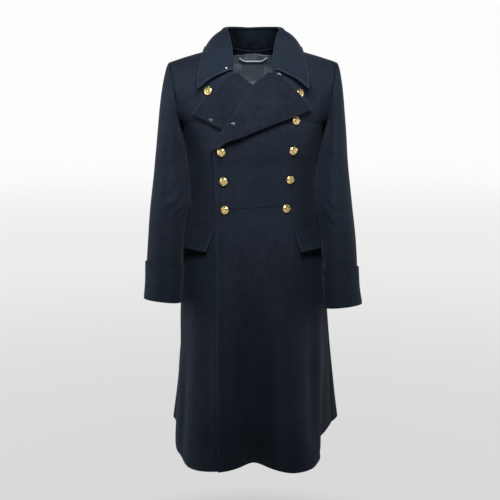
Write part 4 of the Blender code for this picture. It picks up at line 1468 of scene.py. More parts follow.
@dataclass
class Collar:
    """The collar: a stand round the neck and a fall that turns down over it.

    Each row is a place on the neck seam, 0 at the back centre and 1 at the front end, with the
    fold's point and the rim's.
    """

    form: BodyForm
    lap: Lap
    back: Panel
    body: BVHTree
    rows: tuple[tuple[float, tuple[float, float, float], tuple[float, float, float]], ...] = (
        (0.0, (0.0, 0.088, 1.194), (0.0, 0.133, 1.117)),
        (0.18, (0.04, 0.079, 1.1945), (0.064, 0.122, 1.119)),
        (0.36, (0.067, 0.043, 1.193), (0.107, 0.08, 1.128)),
        (0.5, (0.0735, 0.006, 1.188), (0.126, 0.018, 1.139)),
        (0.64, (0.066, -0.024, 1.168), (0.133, -0.044, 1.115)),
        (0.76, (0.06, -0.056, 1.139), (0.138, -0.082, 1.088)),
        (0.88, (0.0555, -0.088, 1.108), (0.1425, -0.12, 1.056)),
        (1.0, (0.057, -0.112, 1.08), (0.1425, -0.138, 1.033)),
    )
    stand_under: float = 0.005
    stand_clear: float = 0.0034
    stand_end: float = 0.88
    gorge_level: float = 1.083
    fall_roll: tuple[Place, ...] = ((-0.0012, -0.0012), (0.0014, 0.0008), (0.0052, 0.0))
    fall_clear: float = 0.0078
    fall_bulge: float = 0.00525
    lines: int = 220
    columns: int = 46
    across: int = 12
    wall: ClothWall = field(init=False)

    def curve(self) -> Array:
        """The seam place, fold and rim of every line, from one front end to the other."""
        flip = np.array([-1, -1, -1, 1, 1, -1, 1, 1])
        half = [np.array((i, seam, *fold, *rim)) for i, (seam, fold, rim) in enumerate(self.rows)]
        table = SmoothTable([row * flip for row in half[:0:-1]] + half)
        last = len(self.rows) - 1
        return table.at(np.linspace(-last, last, self.lines))[:, 1:]

    def neckline(self, seam: Array, out: float) -> Array:
        """Points of the neck edge, out from the panels' face."""
        form = self.form
        neck = float(form.across_at(Half.BACK, form.top, self.lap.edge_x(form.top)))
        back = neck * seam / 0.5
        high = self.back.top_level(back, np.full(seam.shape, form.top))
        level = form.top + (self.gorge_level - form.top) * (np.abs(seam) - 0.5) / 0.5
        level = np.minimum(level, form.top)
        front = form.across_at(Half.FRONT, level, np.sign(seam) * self.lap.edge_x(level))
        ends = [
            form.point(half, across, at) + form.normal(half, across, at) * out
            for half, across, at in ((Half.BACK, back, high), (Half.FRONT, front, level))
        ]
        return np.where((np.abs(seam) <= 0.5)[:, None], *ends)

    def build_stand(self, finish: Material, sewing: StitchRow) -> None:
        """The band that rises from the neck edge to the collar's fold."""
        curve = self.curve()
        curve = curve[np.abs(curve[:, 0]) <= self.stand_end]
        seam, fold = curve[:, 0], curve[:, 1:4]
        near, far = self.neckline(seam, -CLOTH), self.neckline(seam, 0.0)
        rise = unit(fold - near)
        top = fold - rise * self.stand_under
        shares = np.linspace(0.0, 1.0, 20)[:, None, None]
        foot = rise * self.stand_clear
        inner = (near + foot) * (1 - shares) + top * shares
        outer = (far + foot) * (1 - shares) + (top + (far - near) * 0.9) * shares
        wave = slack(inner, 0.0006, 4.0)[..., None] * unit(outer - inner)
        wall = ClothWall(
            "collar_stand", outer + wave, inner + wave, seams=(Side.FIRST_ROW,), row=0.02
        )
        wall.make(finish, sewing)

    def build_fall(self, finish: Material, sewing: StitchRow) -> None:
        """The turned-down part: it rolls over the stand's top and lies on the body."""
        curve = self.curve()
        fold, rim = curve[:, 1:4], curve[:, 4:7]
        way = unit((rim - fold) * [1.0, 1.0, 0.0])
        up = np.array([0.0, 0.0, 1.0])
        made = []
        for k in range(len(curve)):
            line = [fold[k] + way[k] * out + up * rise for out, rise in self.fall_roll]
            for share in np.linspace(0.18, 1.0, self.across):
                bulge = math.sin(math.pi * share) * self.fall_bulge
                point = fold[k] + (rim[k] - fold[k]) * share + (way[k] + up) * bulge
                line.append(self.clear(point))
            made.append(spline(np.array(line), self.columns))
        under = np.array(made)
        face, back = doubled(under, (0.0, 0.0, 1.0), np.abs(slack(under, 0.0014, 2.0)))
        self.wall = ClothWall(
            "collar_fall",
            face,
            back,
            free=(Side.LAST_COLUMN, Side.FIRST_ROW, Side.LAST_ROW),
            roundness=1.0,
        )
        self.wall.make(finish, sewing)

    def clear(self, point: Array) -> Array:
        """The point, moved out where it is too near to the panels."""
        place, normal, _, _ = self.body.find_nearest(Vector(point))
        toward = Vector((0.0, 0.05, 1.1)) - place
        normal = -normal if normal.dot(toward) > 0 else normal
        height = (Vector(point) - place).dot(normal)
        return point + np.array(normal) * max(self.fall_clear - height, 0.0)


@dataclass(frozen=True)
class ArmRow:
    """One ring of a sleeve: its height, its reach in X and Y, and how it is pitched."""

    height: float
    inside: float
    outside: float
    outside_left: float
    front: float
    back: float
    pitch: float


ARM_ROWS = (
    ArmRow(0.872, 0.1855, 0.2635, 0.256, -0.1, 0.061, 0.0),
    ArmRow(0.8, 0.177, 0.27, 0.2625, -0.116, 0.043, 0.04),
    ArmRow(0.735, 0.1725, 0.2765, 0.269, -0.127, 0.02, 0.08),
    ArmRow(0.67, 0.183, 0.283, 0.2765, -0.133, 0.008, 0.12),
    ArmRow(0.6, 0.1905, 0.2875, 0.2825, -0.135, 0.003, 0.14),
    ArmRow(0.55, 0.194, 0.29, 0.2855, -0.135, 0.002, 0.14),
    ArmRow(0.505, 0.1965, 0.2915, 0.2885, -0.135, 0.002, 0.14),
    ArmRow(0.4625, 0.2005, 0.2955, 0.295, -0.135, 0.002, 0.14),
)

ARM_CREASES = {
    Hand.RIGHT: rows_of_creases(
        (0.135, 0.8, 0.075, 0.742, 0.01, -0.0026, 0.004),
        (0.142, 0.752, 0.085, 0.712, 0.009, -0.003, 0.003),
        (0.146, 0.712, 0.098, 0.69, 0.008, -0.0024),
        (0.12, 0.735, 0.07, 0.728, 0.008, 0.0016),
        (0.06, 0.69, 0.1, 0.64, 0.014, -0.0018, 0.004),
        (0.12, 0.88, 0.08, 0.8, 0.014, -0.0022, 0.005),
        (0.04, 0.86, 0.06, 0.78, 0.018, 0.0014),
        (0.06, 0.6, 0.12, 0.59, 0.01, 0.0014),
        (-0.09, 0.74, -0.04, 0.712, 0.012, 0.002),
        (-0.11, 0.8, -0.06, 0.772, 0.014, -0.0018),
    ),
    Hand.LEFT: rows_of_creases(
        (0.14, 0.812, 0.09, 0.76, 0.011, -0.0026, 0.004),
        (0.15, 0.765, 0.08, 0.722, 0.01, -0.0032, 0.004),
        (0.14, 0.716, 0.1, 0.684, 0.009, -0.0024),
        (0.108, 0.772, 0.078, 0.752, 0.008, 0.0018),
        (0.068, 0.655, 0.104, 0.64, 0.012, -0.0014),
        (0.126, 0.89, 0.084, 0.82, 0.016, -0.0024, 0.005),
        (0.066, 0.6, 0.112, 0.592, 0.01, 0.0014),
        (-0.096, 0.748, -0.04, 0.724, 0.013, 0.002),
        (-0.106, 0.812, -0.056, 0.79, 0.014, -0.0018),
    ),


}


@dataclass
class Sleeve:
    """A sleeve set into its armhole, with a deep turned-back cuff."""

    hand: Hand
    form: BodyForm
    drop: float
    creases: tuple[Crease, ...]
    seed: float
    around: int = 100
    cap_rows: int = 34
    arm_rows: int = 120
    inner_flat: float = 0.8
    channel: float = 0.008
    tilt: float = 0.12
    leave: float = 0.066
    fall: float = 0.15
    low_leave: float = 0.28
    low_fall: float = 0.3
    out: float = 0.02
    armpit_lift: float = 0.014
    slant: float = 0.012
    gap: float = 0.0009
    cuff_top: float = 0.562
    cuff_below: float = 0.004
    cuff_out: float = 0.0016
    cuff_line: float = 0.498
    cuff_slope: float = 0.14
    cuff_middle: float = 0.0665
    lean_clear: float = 0.0008
    lean_most: float = 0.026
    lean_deep: float = 0.06
    yoke: tuple[float, ...] = (
        0.93, 0.943, 0.96, 0.982, 1.008, 1.036, 1.064, 1.092, 1.117, 1.138, 1.154,
    )  # fmt: skip

    def table(self) -> SmoothTable:
        """The arm's rings, from the wrist up."""
        rows = []
        for row in ARM_ROWS[::-1]:
            outside = row.outside_left if self.hand is Hand.LEFT else row.outside
            rows.append((row.height, row.inside, outside, row.front, row.back, row.pitch))
        return SmoothTable(rows)

    def ring(self, rows: Array, out: float) -> Array:
        """Rings of the sleeve, from the outside round by the front.

        Args:
            rows: height, inside, outside, front, back and pitch of each.
            out: how far outside the sleeve's face they lie.

        Returns:
            The rings' points.
        """
        height, inside, outside, front, back, pitch = (c[:, None] for c in rows.T)
        angle = turns(self.around)
        reach = np.cos(angle)
        hollow = ease(np.sin(angle) * 1.4) * ease(-reach * 1.5)
        reach = np.where(reach < 0, -(np.abs(reach) ** self.inner_flat), reach)[None, :]
        middle = (inside + outside) / 2
        centre = (front + back) / 2
        x = middle + ((outside - inside) / 2 + out) * reach
        x = x + self.channel * hollow[None, :] * ease((height - 0.57) / 0.12)
        y = centre - ((back - front) / 2 + out) * np.sin(angle)[None, :]
        z = height - self.drop + self.tilt * (x - middle) - pitch * (y - centre)
        return np.stack([self.hand.value * x, y, z], axis=-1)

    def armhole(self) -> tuple[Array, Array]:
        """The armhole's points and outward directions, down its front and up its back."""
        steps = len(self.yoke) - 1
        place = np.arange(self.around) * 2 * steps / self.around
        level = np.interp(np.minimum(place, 2 * steps - place), range(steps + 1), self.yoke[::-1])
        sign = float(self.hand.value)
        halves = (Half.FRONT, Half.BACK)
        points = [self.form.point(half, sign, level) for half in halves]
        normals = [self.form.normal(half, sign, level) for half in halves]
        first = (place <= steps)[:, None]
        return np.where(first, *points), np.where(first, *normals)

    def grid(self) -> tuple[Array, Array]:
        """The sleeve's face from the armhole to the wrist, and its outward directions."""
        sign = self.hand.value
        heights = np.linspace(ARM_ROWS[0].height, ARM_ROWS[-1].height, self.arm_rows)
        arm = self.ring(self.table().at(heights), 0.0)
        starts, normals = self.armhole()
        angle = turns(self.around)
        low = (0.5 - 0.5 * np.cos(angle))[:, None]
        leave = np.array([sign * self.leave, 0, 0]) * (1 + (self.low_leave - 1) * low)
        leave = leave + normals * self.out * (np.sin(angle) ** 2)[:, None]
        leave = leave + np.array([0, 0, self.armpit_lift]) * low
        fall = self.fall * (1 + (self.low_fall - 1) * low)
        arrive = np.concatenate([np.full_like(fall, sign * self.slant), 0 * fall, -fall], axis=1)
        share = np.linspace(0.0, 1.0, self.cap_rows + 1)[:-1, None, None]
        cap = hermite(share, starts, leave, arm[0], arrive)
        face = np.concatenate([cap, arm])
        out = grid_normals(face, closed=True)
        if (out[-1, 0, 0] > 0) != (sign > 0):
            out = -out
        blend = (1 - ease(np.arange(len(face)) / 6.0))[:, None, None]
        out = unit(out * (1 - blend) + normals[None] * blend)
        along = np.roll(face[0], -1, axis=0) - np.roll(face[0], 1, axis=0)
        off = unit(np.cross(along, normals)) * -sign
        face[0] += off * self.gap
        face[1] += off * self.gap * 0.6
        return face, out

    def lean(self, face: Array, body: BVHTree) -> Array:
        """The sleeve's face with its inner side let down onto the body beside it.

        Args:
            face: the sleeve's points.
            body: the panels' face.

        Returns:
            The points, moved towards the body where they were near it.
        """
        made = face.copy()
        sign = self.hand.value
        aim = Vector((-sign, 0.0, 0.0))
        angle = turns(self.around)
        inner = ease((-np.cos(angle) + 0.25) / 0.9)
        for r, row in enumerate(face):
            if r < 5 or row[:, 2].mean() < 0.62:
                continue
            deep = ease((row[:, 1] - row[:, 1].min() - self.lean_deep) / 0.03)
            for c in np.nonzero(inner > 0.02)[0]:
                hit, _, _, far = body.ray_cast(Vector(row[c]), aim, 0.06)
                if hit is None:
                    continue
                strength = ease((row[c, 2] - 0.66) / 0.12) * ease((r - 4) / 9) * deep[c]
                move = min(max(far - self.lean_clear, 0.0), self.lean_most) * inner[c] * strength
                made[r, c, 0] -= sign * move
        for _ in range(4):
            smooth = (np.roll(made, 1, axis=1) + np.roll(made, -1, axis=1)) / 2
            made[8:-60] += 0.5 * (smooth[8:-60] - made[8:-60])
        return made

    def places(self, face: Array) -> Array:
        """The way round the sleeve and the height of its points, for its creases."""
        angle = turns(self.around)
        aside = np.where(angle > np.pi, angle - 2 * np.pi, angle) * ARM_GIRTH
        height = face[..., 2] + self.drop
        return np.stack([np.broadcast_to(aside, height.shape), height], axis=-1)

    def build(self, finish: Material, sewing: StitchRow, body: BVHTree) -> None:
        """Make the sleeve's piece, beside the body's panels."""
        face, out = self.grid()
        face = self.lean(face, body)
        push = creased(slack(face, 0.0011, self.seed), self.creases, self.places(face))
        push = push * ease(np.arange(len(face)) / 14.0)[:, None]
        wall = ClothWall(
            f"sleeve_{self.hand.side}",
            face + out * push[..., None],
            face + out * (push - CLOTH)[..., None],
            closed=True,
            seams=(Side.FIRST_ROW,),
            row=0.02,
        )
        wall.make(finish, sewing)

    def build_cuff(self, finish: Material, sewing: StitchRow) -> None:
        """Make the turned-back cuff's piece."""
        hem = ARM_ROWS[-1].height - self.cuff_below
        low = np.array([0.0, 0.0008, 0.002, 0.004])
        rest = np.linspace(0.008, self.cuff_top - hem - 0.004, 34)
        high = self.cuff_top - hem - low[::-1]
        heights = hem + np.concatenate([low, rest, high[1:]])
        rows = self.table().at(np.maximum(heights, ARM_ROWS[-1].height))
        rows[:, 0] = heights
        inner = self.ring(rows, self.cuff_out)
        outer = self.ring(rows, self.cuff_out + CLOTH)
        push = creased(slack(outer, 0.0009, self.seed + 7.0), self.creases, self.places(outer))
        push = np.maximum(push, -0.0008)
        out = unit(outer - inner)
        line = self.cuff_line - self.cuff_slope * (outer[..., 1] + self.cuff_middle)
        cut = np.abs(outer[..., 2] + self.drop - line)
        wall = ClothWall(
            f"cuff_{self.hand.side}",
            outer + out * push[..., None],
            inner + out * np.maximum(push, 0.0)[..., None],
            closed=True,
            free=(Side.FIRST_ROW,),
            seams=(Side.LAST_ROW,),
            sewn=(Side.LAST_ROW,),
            row=0.007,
            cut=np.where(cut < SEAM_REACH, np.maximum(cut, 0.001), FAR),
            roundness=0.9,
        )
        wall.make(finish, sewing)


@dataclass
class Flap:
    """A pocket flap on the side of a front panel."""

    hand: Hand
    form: BodyForm
    lap: Lap
    panel: Panel
    inner_top: float = 0.105
    inner_bottom: float = 0.122
    outer: float = 0.82
    high: float = 0.66
    low: float = 0.602
    lift_top: float = 0.0014
    lift_low: float = 0.005
    belly: float = 0.001
    curl: float = 0.0026
    rows: int = 34
    columns: int = 56

    def build(self, finish: Material, sewing: StitchRow) -> None:
        """Make the flap's piece."""
        sign = self.hand.value
        down = np.linspace(0.0, 1.0, self.rows)
        level = self.high + (self.low - self.high) * down
        inner_x = self.inner_top + (self.inner_bottom - self.inner_top) * down
        start = self.form.across_at(Half.FRONT, level, sign * inner_x)
        share = np.linspace(0.0, 1.0, self.columns)
        across = start[:, None] + (sign * self.outer - start)[:, None] * share
        at = np.broadcast_to(level[:, None], across.shape)
        lift = self.lift_top + (self.lift_low - self.lift_top) * down[:, None]
        base = self.form.point(Half.FRONT, across, at)
        if self.hand is Hand.LEFT:
            lift = lift + self.lap.rise(at, base[..., 0])
        normal = self.form.normal(Half.FRONT, across, at)
        crease = self.panel.crease_push(base, at)
        belly = self.belly * np.sin(np.pi * share)[None, :] * down[:, None]
        curl = self.curl * ease((down - 0.7) / 0.3)[:, None]
        under = base + normal * (lift + np.maximum(crease, 0.0) + belly + curl)[..., None]
        wall = ClothWall(
            f"flap_{self.hand.side}",
            under + normal * DOUBLE_CLOTH,
            under,
            free=(Side.LAST_ROW, Side.FIRST_COLUMN, Side.LAST_COLUMN),
            seams=(Side.FIRST_ROW,),
            row=0.0075,
            roundness=1.0,
        )
        wall.make(finish, sewing)


@dataclass(frozen=True)
class ButtonPlace:
    """Where a button is, seen from the front, and its solid's name."""

    name: str
    x: float
    height: float


@dataclass
class Buttons:
    """Domed gilt buttons with a rope rim and a plain eight-petalled rosette."""

    finish: Material
    radius: float = 0.01145
    height: float = 0.0062
    clear: float = 0.0011
    around: int = 64
    petals: int = 8
    petal_height: float = 0.00055
    rope_beads: int = 34
    profile: tuple[Place, ...] = (
        (0.0, 1.0), (0.36, 0.97), (0.68, 0.84), (0.9, 0.6), (1.0, 0.34), (0.96, 0.12), (0.84, 0.0)
    )

    def dome(self) -> tuple[Array, Array, Array]:
        """The turned dome with its rosette.

        Returns:
            Its points, its quads and how deep each point lies in a hollow.
        """
        line = spline(np.array(self.profile) * [self.radius, self.height], 44)
        line[0, 0] = 0.00001
        angle = turns(self.around)
        reach = line[:, 0] / self.radius
        inside = ease((reach - 0.1) / 0.1) * (1 - ease((reach - 0.46) / 0.14))
        petal = np.abs(np.cos(self.petals / 2 * angle))[None, :] ** 0.8
        ring = np.exp(-(((reach - 0.66) / 0.035) ** 2))[:, None]
        crown = np.exp(-((reach / 0.1) ** 2))[:, None]
        front = (np.arange(len(line)) < 30)[:, None]
        relief = np.where(front, inside[:, None] * petal + 0.7 * ring + 0.8 * crown, 0.0)
        z = line[:, 1][:, None] + self.petal_height * (relief - 0.25 * inside[:, None])
        x = line[:, 0][:, None] * np.cos(angle)
        y = line[:, 0][:, None] * np.sin(angle)
        points = np.stack([x, y, z], axis=-1).reshape(-1, 3)
        bottom = np.array([[0.0, 0.0, 0.0]])
        quads = grid_quads(len(line), self.around, True)
        low = (1 - np.clip(relief, 0.0, 1.0)) * (reach < 0.62)[:, None]
        return np.vstack([points, bottom]), quads, np.append(low.reshape(-1), 0.0)

    def rope(self) -> Mesh:
        """The rope round the rim, made by its own tree."""
        sizes = {"Radius": self.radius * 0.885, "Height": self.height * 0.66, "Strand": 0.00062}
        tree = NodeTree("rope_rim", sizes, False)
        given = tree.start.outputs
        circle = tree.make(
            "GeometryNodeCurvePrimitiveCircle", {"Resolution": 64, "Radius": given["Radius"]}
        )
        places = tree.make(
            "GeometryNodeCurveToPoints",
            {"Curve": circle.outputs[0], "Count": self.rope_beads},
            mode="COUNT",
        )
        scale = tree.make(
            "ShaderNodeVectorMath",
            {0: (0.85, 0.85, 1.75), "Scale": given["Strand"]},
            operation="SCALE",
        )
        placed = tree.beads(places, (6, 5, 1.0), scale)
        leaned = tree.make(
            "GeometryNodeRotateInstances",
            {"Instances": placed.outputs[0], "Rotation": (0.0, 0.65, 0.0)},
        )
        raised = tree.make("ShaderNodeCombineXYZ", {"Z": given["Height"]})
        values = {"Instances": leaned.outputs[0], "Translation": raised.outputs[0]}
        moved = tree.make("GeometryNodeTranslateInstances", {**values, "Local Space": False})
        tree.close(moved.outputs[0], self.finish)
        return tree.apply(new_mesh("rope_base", TO_NECK), "rope")

    def build(self, place: ButtonPlace, tree: BVHTree, rope: Mesh) -> Object:
        """Make one button on its front.

        Args:
            place: where it is.
            tree: the front's face.
            rope: the rim's mesh.

        Returns:
            The button.
        """
        hit, normal = seen(tree, place.x, place.height)
        points, quads, low = self.dome()
        last = len(points) - 1
        edge = last - self.around
        back = [(last, edge + (i + 1) % self.around, edge + i) for i in range(self.around)]
        mesh = bpy.data.meshes.new(place.name)
        mesh.from_pydata(points.tolist(), [], quads.tolist() + back)
        mark(mesh, "hollow", low)
        work = bmesh.new()
        work.from_mesh(mesh)
        work.from_mesh(rope)
        seat = hit + normal * self.clear - Vector(TO_NECK)
        turn = normal.to_track_quat("Z", "Y").to_matrix().to_4x4()
        work.transform(Matrix.Translation(seat) @ turn)
        work.to_mesh(mesh)
        work.free()
        return dress(finished(place.name + "_gilt", mesh, self.finish), [place.name])


def tube(points: Array, radius: float, around: int) -> Array:
    """The rings of a round wire or cord, smaller at its two ends.

    Args:
        points: the points of its middle, one a row.
        radius: half its thickness.
        around: how many points go round it.

    Returns:
        The points, a ring a row.
    """
    tangent = unit(np.gradient(points, axis=0))
    side = unit(np.cross(tangent, np.array([0.13, 0.31, 0.94])))
    other = np.cross(tangent, side)
    angle = turns(around)[None, :, None]
    ring = side[:, None] * np.cos(angle) + other[:, None] * np.sin(angle)
    scale = np.ones(len(points))
    scale[[0, -1]] = math.sqrt(1 - 0.75**2) * 0.6
    return points[:, None] + ring * radius * scale[:, None, None]


def tube_mesh(name: str, rings: Array) -> Mesh:
    """A mesh of a tube's rings, with closed ends."""
    count, around = rings.shape[:2]
    last = count * around
    ends = [list(range(around)), list(range(last - around, last))]
    return new_mesh(name, rings, grid_quads(count, around, True).tolist() + ends)


@dataclass
class NeckInside:
    """What shows inside the neck: the lining, a bare label and the hanger loop."""

    form: BodyForm
    lining_half: float = 0.105
    lining_low: float = 1.01
    lining_high: float = 1.131
    lining_depth: float = 0.006
    lining: float = 0.001
    label_half: float = 0.031
    label_low: float = 1.057
    label_high: float = 1.117
    label_thick: float = 0.0008
    label_clear: float = 0.0012
    loop_half: float = 0.04
    loop_height: float = 1.128
    loop_drop: float = 0.013
    loop_radius: float = 0.0022
    loop_clear: float = 0.003
    loop_steps: int = 90
    loop_around: int = 20

    def inside(self, x: Array, height: Array, depth: float | Array) -> Array:
        """Points inside the back panels."""
        x, height = np.broadcast_arrays(x, height)
        across = self.form.across_at(Half.BACK, height, x)
        normal = self.form.normal(Half.BACK, across, height)
        depth = np.broadcast_to(depth, x.shape)
        return self.form.point(Half.BACK, across, height) - normal * depth[..., None]

    def build_lining(self, finish: Material, sewing: StitchRow) -> None:
        """The lining across the back of the neck, with a few pulled creases."""
        height = np.linspace(self.lining_low, self.lining_high, 56)[:, None]
        x = np.linspace(-self.lining_half, self.lining_half, 110)[None, :]
        wave = 0.0009 * np.sin(x * 95 + 2.0 * np.sin(height * 40)) * np.sin(height * 70 + x * 20)
        wave = wave + 0.0006 * np.sin(x * 210 + height * 90)
        depth = self.lining_depth + np.clip(wave, -0.001, 0.0007)
        back, face = (self.inside(x, height, depth + more) for more in (0.0, self.lining))
        ClothWall("neck_lining", face, back, row=0.5).make(finish, sewing, "lining")

    def build_label(self, finish: Material, sewing: StitchRow) -> None:
        """The label, left bare, with turned ends."""
        height = np.linspace(self.label_low, self.label_high, 40)[:, None]
        x = np.linspace(-self.label_half, self.label_half, 42)[None, :]
        curl = 0.0005 * np.abs(x / self.label_half) ** 4
        depth = self.lining_depth + self.lining + self.label_clear + curl
        back, face = (self.inside(x, height, depth + more) for more in (0.0, self.label_thick))
        wall = ClothWall("label", face, back, free=tuple(Side), row=0.0035, roundness=1.0)
        wall.make(finish, sewing, "label")

    def build_loop(self, finish: Material) -> None:
        """The hanger loop, a rolled cord that is sewn down at its ends."""
        depth = self.lining_depth + self.lining + self.label_thick
        depth = depth + self.loop_clear + self.loop_radius
        share = np.linspace(-1.0, 1.0, self.loop_steps)
        height = self.loop_height - self.loop_drop * (1 - share**4)
        middle = self.inside(self.loop_half * share, height, depth)
        rings = tube(middle, self.loop_radius, self.loop_around)
        twist = np.arange(self.loop_steps)[:, None] * 0.55
        turned = turns(self.loop_around)[None, :] + twist / 3
        groove = 1 - 0.07 * (0.5 + 0.5 * np.cos(3 * turned))
        rings = middle[:, None] + (rings - middle[:, None]) * groove[..., None]
        mesh = tube_mesh("hanger_loop", rings)
        dress(finished("hanger_loop_cord", mesh, finish), ["hanger_loop"])


@dataclass(frozen=True)
class Fastening:
    """A hook or an eye: where it is, seen from the front, and the way it points."""

    name: str
    x: float
    height: float
    turn: float


@dataclass
class HookAndEye:
    """Small wire hooks and eyes at the collar and the lapels."""

    finish: Material
    length: float = 0.0085
    width: float = 0.0036
    wire: float = 0.0006

    def build(self, place: Fastening, tree: BVHTree) -> Object:
        """Make one hook or eye on the cloth."""
        hit, normal = seen(tree, place.x, place.height)
        along = Vector((math.cos(place.turn), 0.0, math.sin(place.turn)))
        along = (along - normal * along.dot(normal)).normalized()
        across = normal.cross(along)
        seat = np.array(hit + normal * (self.wire + SEAM_GAP))
        half, wide = self.length / 2 - self.width / 2, self.width / 2
        foot = wide * 0.62
        line = [(-half + foot * 1.3, wide + foot * 0.7)]
        for step in range(9):
            angle = 0.55 * math.pi + 1.35 * math.pi * step / 8
            bend = (-half + foot * math.cos(angle) * 0.9, wide + foot * math.sin(angle) * 0.55)
            line.append(bend)
        line.append((half * 0.4, wide))
        angles = [math.pi / 2 - math.pi * step / 10 for step in range(11)]
        line += [(half + wide * math.cos(a), wide * math.sin(a)) for a in angles]
        line += [(x, -y) for x, y in line[10::-1]]
        points = spline(seat + np.array(line) @ np.array([along, across]), 96)
        mesh = tube_mesh(place.name, tube(points, self.wire, 8))
        return dress(finished(place.name + "_wire", mesh, self.finish), [place.name])


# ---- The studio ----
@dataclass
class Studio:
    """A pale floor, soft light and the camera."""

    floor_height: float = -1.535
    floor_size: float = 30.0
    camera_place: tuple[float, float, float] = (-0.0084, -2.7, -0.0803)
    camera_tilt: float = 80.15
    lens: float = 70.467
    world_light: float = 0.045
    backdrop: float = 0.98

    def build_floor(self, finish: Material) -> None:
        """The floor, which glows but lights nothing."""
        side = self.floor_size / 2
        mesh = bpy.data.meshes.new("studio_floor")
        corners = [(-side, -side), (side, -side), (side, side), (-side, side)]
        mesh.from_pydata([(x, y, self.floor_height) for x, y in corners], [], [(0, 1, 2, 3)])
        mesh.materials.append(finish)
        made = bpy.data.objects.new("studio_floor", mesh)
        made.visible_diffuse = False
        bpy.context.scene.collection.objects.link(made)

    def build_light(
        self,
        name: str,
        place: tuple[float, float, float],
        size: float,
        power: float,
        aim_height: float = -0.3,
        spread: float = 180.0,
    ) -> None:
        """A soft square light that faces the coat, with its beam's spread in degrees."""
        lamp = bpy.data.lights.new(name, "AREA")
        lamp.shape = "SQUARE"
        lamp.size = size
        lamp.energy = power
        lamp.spread = math.radians(spread)
        made = bpy.data.objects.new(name, lamp)
        made.location = place
        aim = Vector((0.0, 0.0, aim_height)) - Vector(place)
        made.rotation_euler = aim.to_track_quat("-Z", "Y").to_euler()
        bpy.context.scene.collection.objects.link(made)

    def build(self, floor: Material) -> None:
        """Set the floor, the lights and the camera."""
        self.build_floor(floor)
        self.build_light("key_light", (0.02, -0.95, 0.46), 0.45, 6.2, -0.26, 110.0)
        self.build_light("left_light", (-1.5, 0.05, -0.25), 0.9, 13.0)
        self.build_light("right_light", (1.5, 0.2, -0.25), 0.9, 7.0)
        self.build_light("back_light", (0.1, 1.5, 0.4), 1.0, 13.0)
        world = bpy.data.worlds.new("studio")
        world.use_nodes = True
        sky = world.node_tree.nodes["Background"]
        sky.inputs["Color"].default_value = (1.0, 1.0, 1.0, 1.0)
        seen_by = world.node_tree.nodes.new("ShaderNodeLightPath")
        power = world.node_tree.nodes.new("ShaderNodeMapRange")
        power.inputs["To Min"].default_value = self.world_light
        power.inputs["To Max"].default_value = self.backdrop
        world.node_tree.links.new(seen_by.outputs["Is Camera Ray"], power.inputs["Value"])
        world.node_tree.links.new(power.outputs["Result"], sky.inputs["Strength"])
        bpy.context.scene.world = world
        camera = bpy.data.cameras.new("camera")
        camera.lens = self.lens
        camera.sensor_width = 36.0
        made = bpy.data.objects.new("camera", camera)
        made.location = self.camera_place
        made.rotation_euler = (math.radians(self.camera_tilt), 0.0, 0.0)
        bpy.context.scene.collection.objects.link(made)
        bpy.context.scene.camera = made
        bpy.context.scene.view_settings.view_transform = "Standard"


UNDER_BUTTONS = (ButtonPlace("button_under_1", -0.1158, 1.0268),)
OVER_BUTTONS = (
    ButtonPlace("button_over_1", 0.1197, 1.0204),
    ButtonPlace("button_left_2", 0.1092, 0.9509),
    ButtonPlace("button_right_3", -0.0821, 0.8703),
    ButtonPlace("button_left_3", 0.1033, 0.8731),
    ButtonPlace("button_right_4", -0.0765, 0.7926),
    ButtonPlace("button_left_4", 0.0965, 0.7957),
    ButtonPlace("button_right_5", -0.0738, 0.7162),
    ButtonPlace("button_left_5", 0.087, 0.7194),
)
FASTENINGS = (
    Fastening("hook_collar_right", -0.069, 1.084, -0.5),
    Fastening("eye_collar_left", 0.068, 1.08, 3.6),
    Fastening("hook_lapel_right", -0.108, 0.953, 2.6),
    Fastening("eye_lapel_left", -0.05, 0.945, 2.6),
)

